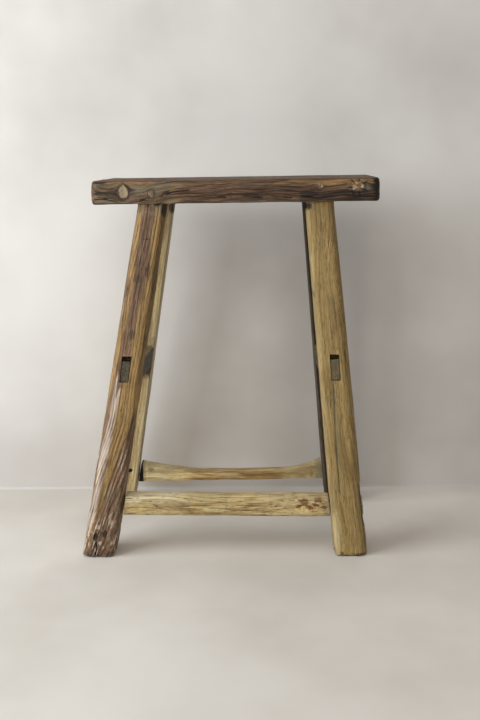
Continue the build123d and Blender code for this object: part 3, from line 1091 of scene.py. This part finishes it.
def seat_half(length):
    """Half the plank's depth and thickness along it. Each end's corners are quarter circles in plan."""
    past = np.clip(np.abs(length) - seat_half_length + seat_corner, 0, seat_corner)
    depth = seat_half_depth - seat_corner + np.sqrt(seat_corner**2 - past**2)
    depth = np.maximum(depth, seat_half_depth - seat_corner + seat_edge)
    return np.stack([depth, np.full(len(length), seat_half_thick)], -1)


def seat_mortises():
    """The middle of each leg's mortise in the seat's top, as (length, depth) from the plank's middle."""
    legs = ((side, end) for side in SIDES for end in ENDS)
    return {leg: leg_centre(*leg, seat_high[2]) - seat_middle[:2] for leg in legs}


def seat_piece(seed, material, marks):
    """The seat, with its mortises. marks(points, normal) gives its grain, its marks and more depth."""
    holes = seat_mortises()
    half_long, half_wide = seat_tenon[0] / 2 + clearance, seat_tenon[1] / 2 + clearance
    ends = sorted(holes[side, "front"][0] + sign * half_long for side in SIDES for sign in (-1, 1))
    edges = sorted(holes["left", end][1] + sign * half_wide for end in ENDS for sign in (-1, 1))
    points, line_side = timber(
        [-seat_half_length, *borders(*ends), seat_half_length],
        seat_half,
        even(seat_edge, seat_edge, seat_edge, seat_edge),
        seat_edge, 1.25, (2.1, 0.8, 2.1, 1.2), 6,
        stops=lambda length: {0: borders(*edges)},
    )
    normal = outward(points)
    grain, found, more = marks(points, normal)
    worn = points - normal * (hewn(points, line_side, seed, **seat_wear) + more)[..., None]
    for hole in holes.values():
        inside = (line_side == 0) & (np.abs(points[..., 2] - hole[0]) < half_long)
        inside &= np.abs(points[..., 0] - hole[1]) < half_wide
        worn[inside, 1] = points[inside, 1] - seat_pocket
        # The pocket is painted dark as the shade inside it.
        found["dark"] = np.maximum(found["dark"], mortise_painted_shade * inside)
    plank = shell(worn[..., [2, 0, 1]] + seat_middle, grain + seed * SEAT_APART, **found)
    make_piece("seat_plank", "seat", [plank], material)


print("seat mortises from its middle:", [hole.round(1).tolist() for hole in seat_mortises().values()])

# %% [markdown]
# ## Tenons in the seat
# Each leg ends in a tenon that comes up through the seat, sawn down its middle and spread by a wedge. The two
# halves belong to the leg, so they're shells of its piece, and the wedge is a piece of its own.

# %% Leg tenons and their wedges
wedge_slot = 4.2
tenon_root, tenon_recess, wedge_recess = 3, 0.5, 0.35  # below the shoulder, and below the seat's top
seat_wedge_length, seat_wedge_thin, seat_wedge_thick = 24, 0.5, 2.0  # the last two are half thicknesses


def leg_tenon_halves(side, end, grain_move, seed):
    """The two halves of a leg's tenon in the seat's top, one on each side of its wedge."""
    halves = []
    width = (seat_tenon[0] - wedge_slot) / 2
    half, radii = even(width / 2, seat_tenon[1] / 2), even(0.6, 0.6, 0.6, 0.6)
    ends = [shoulder - tenon_root, seat_high[2] - tenon_recess]
    points, _ = timber(ends, half, radii, 0.6, 1.2, None, 3)
    depth = np.clip(0.5 * (noise(points, (4, 4, 6), seed) + 0.4), 0, None)
    for sign in (-1, 1):
        worn = points - outward(points) * depth[..., None]
        worn[..., 0] += sign * (width + wedge_slot) / 2
        worn[..., :2] += leg_centre(side, end, worn[..., 2])
        halves.append(shell(worn, points + grain_move, dark=0.3, grey=0.3))
    return halves


def seat_wedge_piece(side, end, seed, material):
    """The wedge that spreads a leg's tenon, narrower at its lower end, a hair proud of the tenon."""

    def half(z):
        """Half the wedge's thickness, which grows evenly with height, and half its width."""
        share = (z + seat_wedge_length) / seat_wedge_length
        thick = seat_wedge_thin + (seat_wedge_thick - seat_wedge_thin) * share
        return np.stack([thick, np.full(len(z), seat_tenon[1] / 2)], -1)

    points, _ = timber([-seat_wedge_length, 0], half, even(0.4, 0.4, 0.4, 0.4), 0.3, 0.9, None, 3)
    worn = points - outward(points) * (0.15 * (noise(points, (2, 2, 6), seed) + 0.7))[..., None]
    worn[..., 2] += seat_high[2] - wedge_recess
    worn[..., :2] += leg_centre(side, end, worn[..., 2])
    wedge = shell(worn, points + seed * WEDGE_APART, pale=0.3)
    make_piece(f"seat_wedge_{end}_{side}_block", f"seat_wedge_{end}_{side}", [wedge], material)


print("each leg's tenon has two halves", (seat_tenon[0] - wedge_slot) / 2, "mm wide")

# %% [markdown]
# ## The seat's wood and marks
# The plank was sawn near the heart of its tree, so it's dark, with paler sap at the left end of its front
# edge and in a wavy strip along the upper right. Its grain flows round four knots, of which the first is a
# pale oval and the last a cracked star. The knots move the place in the tree that the wood reads, which is
# cheaper and smoother than drawing rings for each knot.

# %% Seat grain
seat_knots = [
    ((0.5, -144.4), (9, 7.2)), ((-2.2, -107.7), (5, 4)), ((4.9, 109.5), (4, 4)), ((4.3, 157.0), (6, 8)),
]
knot_strengths = (0.95, 0.8, 0.75, 0.7)


def seat_grain(points):
    """The seat's place in its tree: moved round its knots, and up or down in two S-curves and a wave."""
    c = points[..., 2]
    grain = flowing(points, seat_knots)
    swept = 13 * smooth((c + 128) / 70) + 5 * smooth((c - 60) / 90)
    grain[..., 1] += 5.0 * noise(points, (160, 60, 60), 41, 2) - swept
    return grain


def seat_sap(b, c, ragged):
    """Two masks of sap on the front edge: above a ragged line at the left, and a wavy one at the right."""
    left = smooth((b - 7.5 + ragged) / 4) * smooth((-100 - c + 4 * ragged) / 16) * smooth((c + 172) / 10)
    wavy = 1.6 * np.sin(c / 15) + ragged
    right = smooth((b - 6.0 + wavy) / 3.5) * smooth((c - 45 + 6 * ragged) / 24) * smooth((182 - c) / 8)
    return left, right


print("the seat has", len(seat_knots), "knots")

# %% Seat cracks
seat_cracks = (
    [(-7.2, -26), (-7.8, -10)], [(-6.0, 8), (-7.6, 22), (-9.2, 36)], [(-6.5, 46), (-8.8, 62), (-9.5, 74)],
    [(-7.5, 84), (-8.5, 110), (-7.0, 142), (-9.5, 180)], [(-8, -178), (-6.5, -160)],
    [(-10, -122), (-4, -100), (1.5, -84)], [(-6, -96), (0, -80), (2, -58)],
)
star_middle, star_rays, star_reach = np.array([3.0, 158.0]), 7, (5, 14)


def seat_crack(points, front):
    """Long shakes along the front edge, and a star of short lines from 5 to 14 mm round its last knot."""
    b, c = points[..., 1], points[..., 2]
    shakes = [0.75 * route(b, c, places, 2.2) for places in seat_cracks]
    turns = 0.5 + 0.9 * np.arange(star_rays)
    ways = np.stack([np.sin(turns), np.cos(turns)], -1)
    start, stop = (star_middle + length * ways for length in star_reach)
    star = [0.7 * line(b, c, *ends, 1.8) for ends in zip(start, stop)]
    return strongest(*shakes, *star) * smooth(0.75 + noise(points, (20, 4, 12), 46)) * front


print("the seat's front edge has", len(seat_cracks), "shakes and a star of", star_rays, "rays")


# %% Seat marks
def seat_marks(points, normal):
    """The seat's grain, its marks, and the depth that cracks and soft stripes lose.

    Heart is all that isn't sap or a warm streak. Grey and dark follow stripes of stretched noise, and each
    knot is pale within an ellipse of distance 1 and dark round its rim.
    """
    b, c = points[..., 1], points[..., 2]
    front = facing(normal, 0, -1)
    grain = seat_grain(points)
    ragged = 3.0 * noise(grain, (40, 5, 26), 47, 2)
    over_left, over_right = seat_sap(b, c, ragged)
    over = np.maximum(over_left, over_right)
    left_end = smooth((-60 - c) / 30)
    warm = smooth(0.1 + noise(grain, (30, 3.5, 60), 48, 2) * 2.2) * (0.3 + 0.35 * left_end)
    heart = 1 - strongest(0.95 * over_left, 0.75 * over_right, warm)
    heart = heart + (0.8 - heart) * smooth((normal[..., 1] - 0.5) / 0.3)
    dark = strongest(
        0.8 * smooth((c - 168) / 14) + 0.3 * smooth((-176 - c) / 8) + 0.2 * smooth((c + 70) / 80) * front,
        0.7 * smooth((4 - b) / 8) * smooth((c - 50) / 50) * front,
        0.6 * smooth((noise(grain, (30, 2.2, 55), 49, 2) - 0.12) / 0.25) * front,
    )
    dark = dark * (1 - 0.5 * over)
    pale = strongest(
        0.7 * spot(b, c, (5.8, -178), (2, 5)) * front,
        0.5 * route(b, c, [(6, -176), (7, -160), (5.5, -152)], 2.0) * front,
    )
    mottle = 0.75 + 0.6 * noise(points, (3, 2.5, 2.5), 43, 2)
    rough_edge = 0.25 * noise(points, (4, 4, 4), 42, 2)
    for (centre, size), strength in zip(seat_knots, knot_strengths):
        far = np.hypot((b - centre[0]) / size[0], (c - centre[1]) / size[1]) + rough_edge
        pale = np.maximum(pale, strength * mottle * smooth((1.0 - far) / 0.3) * front)
        dark = np.maximum(dark, 0.6 * smooth(1 - np.abs(far - 1.2) / 0.3) * front)
        dark = np.where(far < 0.9, dark * 0.2, dark)
    stripe = noise(grain, (30, 2.4, 80), 44, 2)
    weathered_end = smooth((-70 - c) / 30)
    grey = strongest(
        (0.5 + 0.3 * weathered_end) * smooth((stripe - 0.1 + 0.12 * weathered_end) / 0.25) * front,
        # A grey strip along the front edge's lower arris: painted light from the floor's bounce.
        0.75 * smooth((-11 - b + ragged / 2) / 2) * front,
        0.7 * spot(b, c, (9, -72), (5, 9)) * front,
        0.35 * (1 - front) * smooth(noise(points, (20, 8, 90), 45) * 2 + 0.3),
    )
    grey = grey * (1 - smooth(2 * pale)) * (1 - 0.75 * over)
    crack = seat_crack(points, front)
    more = 1.2 * crack + 0.6 * smooth((stripe - 0.1) / 0.25) * front
    return grain, {"heart": heart, "pale": pale, "dark": dark, "grey": grey, "crack": crack}, more


seat_wood = wood(
    "seat_wood_finish", sap=((160, 126, 82), (98, 71, 44)), heart=((112, 82, 58), (50, 35, 24)),
    pale=(206, 190, 154), grey=(138, 129, 106), dark=(24, 18, 13), pith=(60, -60), ring=5,
)
seat_piece(6, seat_wood, seat_marks)

# %% [markdown]
# ## Front left leg
# This leg was split near the heart of its tree. A red-brown band of heart runs down its face between yellow
# sap wood. Below the side stretcher its grain twists, and weather and feet have worn the soft wood away
# between the hard, so it stands in ridges. The twist is taken out of the place in the tree, and then both
# the ridges and the wood's fibres lean with it.

# %% Twisted grain and ridges
twist_top, twist_rate = 190, 0.0095  # mm above the floor, and radians for each mm below that
twist_ease = 40  # mm over which the twist sets in
ridge_spacing = 4.4


def untwisted(points):
    """The leg's points with the twist of its grain taken out, by turning each section about its middle.

    The angle is rate x d² / (d + ease), with d the distance below the top of the twist.
    """
    below = np.clip(twist_top - points[..., 2], 0, None)
    angle = twist_rate * below * below / (below + twist_ease)
    a, b, z = np.moveaxis(points, -1, 0)
    return np.stack([a * np.cos(angle) - b * np.sin(angle), b * np.cos(angle) + a * np.sin(angle), z], -1)


def ridges(points, seed):
    """Weathered ridges from 0 to 1 along the twisted grain: |sin| of the way round, which noise disturbs."""
    grain = untwisted(points)
    turn = np.arctan2(grain[..., 0], -grain[..., 1]) * 20 + 3.4 * noise(grain, (9, 9, 60), seed, 2)
    return np.abs(np.sin(np.pi * turn / ridge_spacing)) * (0.75 + 0.5 * noise(grain, (5, 5, 22), seed + 1))


def low_zone(a, z):
    """1 where the low part of the leg is weathered, right of a border that leans with the grain."""
    return smooth((225 - z) / 50) * smooth((a + 4 - 0.2 * (z - 100)) / 8)


foot_twist = twist_rate * twist_top**2 / (twist_top + twist_ease)
print("the grain has turned", round(math.degrees(foot_twist)), "degrees at the foot")

# %% Heart, wear and grime of the front left leg
RIDGE_SEED = 5
heart_left = ([30, 157, 214, 280, 330, 389, 469], [-24, -20, -18, -13, -8.5, -10, -12])  # heights, places
heart_right = ([30, 120, 157, 214, 280, 330, 389, 469], [-16, -6, -5, -2, 2.5, 5, 8, 7])
heart_stains = (((-6, 396), (6, 11)), ((8, 384), (4, 12)), ((-2, 372), (7, 9)), ((0, 300), (7, 10)))
thin_lines = ((-15.5, 76), (-19.0, 77), (9.5, 78), (-3.0, 79))  # the place across of each, and its seed
foot_knots = ((-7, 29), (5, 33))
foot_split = [(-5, 22), (-3, 12), (-4.5, 1)]


def front_left_heart(points):
    """The band of heart between its two borders, the ridged low zone, and streaks in the sap at its left."""
    a, _, z = np.moveaxis(points, -1, 0)
    wander = 2.2 * noise(points, (30, 30, 38), 71, 2)
    left, right = np.interp(z, *heart_left), np.interp(z, *heart_right)
    streaks = 0.6 * smooth(0.6 + noise(points, (3, 3, 140), 75) * 2.4) * smooth((left - a) / 4)
    return strongest(band(a + wander, left, right, 1.6), low_zone(a, z), streaks)


def front_left_pale(points, ridge):
    """Bare wood along the low left edge, a broken crust at the foot, and the tops of the ridges."""
    a, _, z = np.moveaxis(points, -1, 0)
    low = low_zone(a, z)
    ragged = noise(points, (3, 3, 20), 67, 2)
    bare = smooth((240 - z) / 30 + 1.2 * ragged) * smooth((0.05 * (z - 130) - 5 - a) / 6)
    bare = bare * smooth((z - 15) / 40) * smooth((a + 22 - 0.05 * (z - 100)) / 4 + ragged)
    crust = smooth((85 - z) / 50) * smooth((noise(points, (4, 4, 7), 68, 2) - 0.05) / 0.25)
    return strongest(
        bare * (1.0 + 0.8 * noise(points, (3.5, 3.5, 60), 73, 2)) * (1 - low),
        0.8 * crust,
        0.7 * low * smooth((ridge - 0.55) / 0.35) * (0.75 + noise(points, (5, 5, 20), 72)),
        0.7 * smooth((3 - np.abs(a + 22)) / 2) * smooth((70 - z) / 30),
    )


def front_left_dark(points, ridge, front):
    """Lines and stains in the heart, grime between ridges and at knots, painted shade on the right arris and
    under the seat.
    """
    a, _, z = np.moveaxis(points, -1, 0)
    places = [(place + 1.5 * noise(points * (0, 0, 1), (9, 9, 22), sway, 2)) for place, sway in thin_lines]
    thin = [0.6 * smooth(1.3 - np.abs(a - place) / 0.8) * smooth((z - 285) / 40) for place in places]
    stains = [0.55 * spot(a, z, *stain_place) * front for stain_place in heart_stains]
    return strongest(
        # The first term darkens the right arris above the side stretcher: painted shade.
        0.4 * smooth((a - 13) / 5) * smooth((z - 190) / 60), *thin, *stains,
        0.85 * line(a, z, (-4, 424), (5, 424.5), 1.6) * front,
        0.45 * low_zone(a, z) * smooth((0.4 - ridge) / 0.35),
        # The next two are painted shade under the seat and in the top right corner.
        0.85 * smooth((z - 462) / 7) * smooth(0.4 + noise(points, (5, 5, 5), 70) * 2),
        0.9 * smooth((a - 12) / 4) * smooth((z - 446 - 1.5 * (18 - a)) / 10),
        0.5 * smooth((12 - z) / 10),
        *(spot(a, z, centre, (4.5, 7)) * front for centre in foot_knots),
    )


print("the heart is", heart_right[1][-1] - heart_left[1][-1], "mm wide under the seat")


# %% Front left leg's marks and shape
def front_left_marks(points, normal):
    """All the marks of the leg. Grey is under the seat, and in soft patches of the ridged low zone."""
    a, _, z = np.moveaxis(points, -1, 0)
    front = facing(normal, 1, -1)
    ridge = ridges(points, RIDGE_SEED)
    patches = smooth(0.2 + noise(points, (8, 8, 30), 69) * 2)
    under_seat = smooth((z - 450) / 9) * (0.45 + 1.2 * noise(points, (4, 4, 6), 74))
    return {
        "heart": front_left_heart(points),
        "pale": front_left_pale(points, ridge),
        "dark": front_left_dark(points, ridge, front),
        "crack": route(a, z, foot_split, 1.4) * front,
        "grey": np.maximum(under_seat, 0.3 * low_zone(a, z) * patches),
    }


def front_left_shape(points, normal):
    """Depth lost between ridges, at a notch in the left arris, at two knots and in a split at the foot."""
    a, _, z = np.moveaxis(points, -1, 0)
    low = np.maximum(low_zone(a, z), 0.5 * smooth((210 - z) / 50) * smooth((a + 10) / 5))
    notch = 1.4 * spot(a, z, (-22, 135), (3, 4))
    knots = 1.2 * spot(a, z, foot_knots[0], (4, 6)) + spot(a, z, foot_knots[1], (4, 6))
    split = 1.5 * route(a, z, foot_split, 1.4)
    return 1.3 * low * (1 - ridges(points, RIDGE_SEED)) + notch + (knots + split) * facing(normal, 1, -1)


red_wood = wood(
    "red_brown_leg_wood_finish", sap=((172, 139, 86), (106, 77, 42)), heart=((136, 106, 78), (86, 62, 43)),
    pale=(224, 206, 188), grey=(140, 132, 112), dark=(40, 28, 19),
)
leg_piece("left", "front", 1, red_wood, front_left_shape, front_left_marks, untwisted)

# %% [markdown]
# ## Front right leg
# A plainer pole of even ochre wood, with a long check below its tenon, another in its right arris, and a chip
# at its top left. Its rings show as tall nested ovals, where the saw or knife ran along a bulge of the tree.
# Moving the points towards the pith by a bell curve makes such a bulge.

# %% Front right leg
face_check = [(-3.2, 233), (-6.9, 158), (-7.9, 87)]
arris_check = [(16.5, 290), (17.8, 218)]
insect_holes = ((1.6, 416), (1.3, 399), (-19, 350))


def cathedral(points):
    """The leg's points, moved across in the tree by two bell curves, so that its rings close into ovals."""
    a, _, z = np.moveaxis(points, -1, 0)
    moved = points.copy()
    moved[..., 0] += 13 * np.exp(-(((a - 9) / 9) ** 2) - ((z - 372) / 36) ** 2)
    moved[..., 0] += 8 * np.exp(-(((a - 5) / 8) ** 2) - ((z - 150) / 44) ** 2)
    return moved


def front_right_marks(points, normal):
    """Two checks with grey along one, grey and a bruise at the chip, grime at the foot, painted shade on the
    right.
    """
    a, b, z = np.moveaxis(points, -1, 0)
    front = facing(normal, 1, -1)
    checks = strongest(
        0.8 * route(a, z, [arris_check[0], (17, 250), arris_check[1]], 1.8),
        0.45 * route(a, z, [face_check[0], (-5, 190), *face_check[1:]], 2.0),
        0.6 * line(a, z, (-9.5, 213), (-10.3, 200), 1.8),
    )
    grey = strongest(
        0.9 * route(a, z, [(-3.2, 235), (-6, 160), (-8, 84)], 5.0) * front,
        0.6 * spot(a, z, (3, 340), (5, 8)) * front,
        0.8 * spot(a, z, (-15, 465), (7, 9)),
    )
    dark = strongest(
        0.9 * spot(a, z, (-16, 464), (6, 6)),
        0.9 * route(a, z, [(20, 98), (21, 70), (22, 40)], 6) * smooth((-b - 4) / 6),
        0.6 * smooth((5 - z) / 3 + noise(points, (6, 6, 3), 83) * 3),
        # Painted shade over the right half, which looks away from the window.
        0.22 * smooth((a - 6) / 10),
        *(0.4 * spot(a, z, centre, (2.4, 6)) for centre in insect_holes),
    )
    # The second term lightens the left arris, towards the window: painted light.
    pale = 0.75 * spot(a, z, (-16, 30), (7, 42)) + 0.35 * smooth((-12 - a) / 5)
    crack = checks * smooth(0.7 + noise(points, (6, 6, 14), 81)) * front
    heart = 0.35 * smooth(noise(points, (9, 9, 120), 82) * 2)
    return {"pale": pale, "dark": dark, "crack": crack, "grey": grey, "heart": heart}


def front_right_shape(points, normal):
    """Depth lost at the chip, along the lower right arris and in the two checks."""
    a, _, z = np.moveaxis(points, -1, 0)
    chip = 2.2 * spot(a, z, (-18, 466), (7, 9)) + 1.2 * route(a, z, [(22, 98), (23, 40)], 7)
    split = 0.9 * route(a, z, face_check, 1.8) + 1.2 * route(a, z, arris_check, 1.8)
    return chip + split * facing(normal, 1, -1)


ochre_wood = wood(
    "ochre_leg_wood_finish", sap=((176, 150, 96), (122, 94, 50)), heart=((146, 116, 70), (100, 73, 40)),
    pale=(212, 194, 150), grey=(118, 116, 90), dark=(40, 30, 20), ring=6.5, contrast=0.55,
)
leg_piece("right", "front", 2, ochre_wood, front_right_shape, front_right_marks, cathedral)

# %% [markdown]
# ## Rear legs
# One is tan, with the side stretcher's shadow painted where the stretcher meets it, and the other is nearly
# black. Each has a small round hole low down where its peg sits. The hole is a dent in the grid, deeper than
# the peg's end, and is marked as a crack so that it's black, which paints the shade in the hole.

# %% Rear legs
peg_dent, peg_reach = 2.4, (4, 4)


def peg_hole(side, points, normal):
    """1 over the hole that a rear leg's peg sits in, on the leg's front and back faces."""
    middle = np.mean(node_box(f"rear_peg_{side}"), axis=0)
    place = (middle[0] - leg_centre(side, "rear", middle[2])[0], middle[2])
    both_faces = facing(normal, 1, -1) + facing(normal, 1, 1)
    return spot(points[..., 0], points[..., 2], place, peg_reach) * both_faces


def rear_shape(side):
    """The shape of a rear leg: a dent at its peg."""
    return lambda points, normal: peg_dent * peg_hole(side, points, normal)


def rear_left_marks(points, normal):
    """Grey at the joint, the stretcher's painted shadow, painted shade at the top, a darker right arris,
    painted light inside.
    """
    a, b, z = np.moveaxis(points, -1, 0)
    front = facing(normal, 1, -1)
    ragged_height = z + 8 * noise(points, (6, 6, 6), 93, 2)
    dark = strongest(
        # The side stretcher's shadow, painted on the front face beside and below the joint.
        0.95 * smooth((a + 3) / 10) * band(ragged_height, 208, 254, 16) * front,
        # Painted shade under the seat at the top right.
        0.9 * spot(a, z, (19, 462), (9, 16)),
        0.3 * smooth((a - 20) / 2),
    )
    grey = 0.5 * spot(a, z, (17, 262), (9, 9)) * front
    heart = 0.3 * smooth(noise(points, (7, 7, 90), 91) * 2)
    # Painted light along the inner edge.
    pale = 0.7 * smooth((a - 11) / 6) * smooth((b + 28) / 8)
    # The peg's hole is painted black: painted shade in the hole.
    crack = peg_hole("left", points, normal)
    return {"grey": grey, "dark": dark, "heart": heart, "pale": pale, "crack": crack}


def rear_right_marks(points, normal):
    """Nearly all heart, grey in a spot near the foot, painted light on the left arris, painted shade
    elsewhere.
    """
    a, _, z = np.moveaxis(points, -1, 0)
    edge = smooth((-17 - a) / 3)
    # Grey along the left arris is painted light where the window falls. The spot near the foot is weathering.
    grey = 0.5 * edge + 0.8 * spot(a, z, (-24, 98), (6, 8))
    heart = smooth(0.8 + noise(points, (6, 6, 80), 92) * 1.5)
    # The peg's hole is painted black: painted shade in the hole.
    crack = peg_hole("right", points, normal)
    # Dark over all but the left arris is painted shade.
    return {"grey": grey, "heart": heart, "dark": 0.35 * (1 - edge), "crack": crack}


tan_wood = wood(
    "tan_leg_wood_finish", sap=((200, 177, 128), (158, 130, 82)), heart=((150, 122, 78), (112, 84, 50)),
    pale=(214, 200, 162), grey=(128, 122, 92), dark=(48, 36, 24),
)
black_wood = wood(
    "black_brown_leg_wood_finish", sap=((88, 66, 46), (46, 32, 22)), heart=((66, 47, 33), (32, 22, 15)),
    pale=(140, 124, 98), grey=(104, 98, 82), dark=(22, 16, 12),
)
leg_piece("left", "rear", 3, tan_wood, rear_shape("left"), rear_left_marks)
leg_piece("right", "rear", 4, black_wood, rear_shape("right"), rear_right_marks)

# %% [markdown]
# ## Front and rear stretchers
# Both are of pale wood. The front one has a cluster of knots at its right, a few holes, and short dark
# dashes along its grain. The rear one is paler at its left end and grey at its right. Their marks are placed
# along the stool's own X and Z, so a mark's place is the same on either.

# %% Front stretcher
bar_knots = (
    ((101, 74), (9, 5)), ((108, 66), (9, 5)), ((121, 77), (7, 6)), ((94, 67), (5, 4)), ((116, 69), (6, 3)),
    ((88, 80), (5, 3)), ((112, 82), (8, 3)), ((128, 66), (5, 4)),
)
bar_holes = ((55, 80.8), (71, 75), (63, 66.7), (-106, 73), (-101, 68), (-98, 66.5))
bar_cracks = ([(-73, 66.2), (-53, 66)], [(-19, 68.6), (-2, 68.5)])
grain_eyes = (((-3, 105), (5, 9)), ((2, 118), (4, 7)))  # centres up the bar and along X, and sizes


def front_stretcher_marks(points, normal):
    """The bar's grain, which flows round two eyes, and its marks. A knot is dark to a ragged distance 1."""
    origin = cross_frame("front")[0]
    x, z = points[..., 2] + origin[0], points[..., 1] + origin[2]
    front = facing(normal, 0, -1)
    ragged = 0.55 * noise(points, (3, 2.5, 4), 63, 2)
    patchy = noise(points, (5, 4, 7), 66, 2)
    far = [np.hypot((x - centre[0]) / size[0], (z - centre[1]) / size[1]) for centre, size in bar_knots]
    dark = strongest(
        *(0.8 * smooth(2.2 - 2.2 * (away + ragged)) for away in far),
        *(0.7 * spot(x, z, centre, (2.2, 1.6)) for centre in bar_holes),
        0.35 * route(x, z, [(-94, 62), (-60, 61), (-33, 61.6)], 2.2),
        # Darker along the lowest 5 mm: painted shade under the bar's lower arris.
        0.45 * smooth((56 - z) / 5),
        0.55 * smooth((noise(points, (5, 1.3, 10), 65, 2) - 0.25) / 0.15),
    )
    crack = strongest(*(0.5 * route(x, z, places, 1.3) for places in bar_cracks))
    grey = strongest(
        0.75 * smooth((x - 126) / 8 + 1.6 * patchy) + 0.5 * smooth((-151 - x) / 4 + patchy),
        0.3 * spot(x, z, (-19, 76), (22, 7)),
        0.4 * smooth((patchy - 0.12) / 0.2) * smooth((x + 160) / 40),
    )
    pale = 0.85 * smooth((z - 64) / 12) * smooth((-40 - x) / 60) + 0.3 * smooth((z - 66) / 12)
    heart = 0.6 * smooth(noise(points, (8, 3.5, 34), 62, 2) * 2.2)
    eyes = [((up, along - origin[0]), size) for (up, along), size in grain_eyes]
    found = {"heart": heart, "dark": dark * np.maximum(front, 0.4), "crack": crack * front}
    return flowing(points, eyes), {**found, "grey": grey, "pale": pale}


bar_wood = wood(
    "cross_stretcher_wood_finish",
    sap=((214, 193, 140), (164, 135, 82)), heart=((172, 138, 84), (124, 92, 50)),
    pale=(234, 222, 184), grey=(138, 136, 112), dark=(112, 68, 30),
)
cross_stretcher("front", 7, bar_wood, front_stretcher_marks)


# %% Rear stretcher
def rear_stretcher_marks(points, normal):
    """The bar's own grain, and its marks, which don't depend on which way its surface faces."""
    origin = cross_frame("rear")[0]
    x, z = points[..., 2] + origin[0], points[..., 1] + origin[2]
    patchy = noise(points, (5, 4, 7), 67, 2)
    fibres = smooth(0.9 + noise(points, (6, 6, 60), 64) * 1.5)
    left_end = 0.6 * band(x, -136, -133, 1) + 0.45 * smooth((-60 - x) / 50)
    found = {
        "heart": 0.7 * smooth((x + 110) / 60) * smooth((105 - x) / 50) * fibres,
        "dark": strongest(
            0.5 * spot(x, z, (-128, 57), (7, 5)) + 0.4 * spot(x, z, (120, 46), (4, 9)),
            # Darker along the lowest 2.5 mm: painted shade under the lower arris.
            0.5 * smooth((38.5 - z) / 3),
        ),
        "grey": 0.85 * smooth((x - 124) / 5 + 1.3 * patchy),
        "pale": left_end + 0.3 * spot(x, z, (-118, 44), (22, 6)),
        # Black at the very left end: painted shade in the gap at the left shoulder.
        "crack": 0.85 * smooth((-139 - x) / 2),
    }
    return points.copy(), found


cross_stretcher("rear", 8, bar_wood, rear_stretcher_marks)

# %% [markdown]
# ## Side stretchers, wedges and pegs
# These are small or in shade, so plain finishes do: a grey-brown one for the side stretchers, a lighter one
# for the wedges, which were split from fresher wood, and a dark one for the pegs. Each side has its seeds.

# %% Side stretchers, wedges and pegs
side_wood = wood(
    "side_stretcher_wood_finish", sap=((138, 122, 84), (92, 76, 48)), heart=((112, 92, 64), (66, 50, 34)),
    pale=(168, 152, 114), grey=(106, 104, 92), dark=(30, 26, 20),
)
wedge_wood = wood(
    "wedge_wood_finish", sap=((150, 126, 86), (104, 80, 50)), heart=((112, 92, 64), (74, 58, 40)),
    pale=(176, 160, 120), grey=(116, 110, 88), dark=(34, 26, 18),
)
peg_wood = wood(
    "peg_wood_finish", sap=((96, 76, 52), (58, 43, 29)), heart=((112, 92, 64), (74, 58, 40)),
    pale=(186, 170, 130), grey=(120, 114, 92), dark=(20, 16, 12),
)
for number, side in enumerate(SIDES):
    side_stretcher(side, 9 + number, side_wood)
    front_wedge_piece(side, 21 + number, wedge_wood)
    peg_piece(side, 23 + number, peg_wood)
    for end in ENDS:
        side_wedge_piece(side, end, 25 + number, wedge_wood)
        seat_wedge_piece(side, end, 27 + number, wedge_wood)

# %% [markdown]
# ## Size and finish
# The dressed stool must fill the same box as its frame.
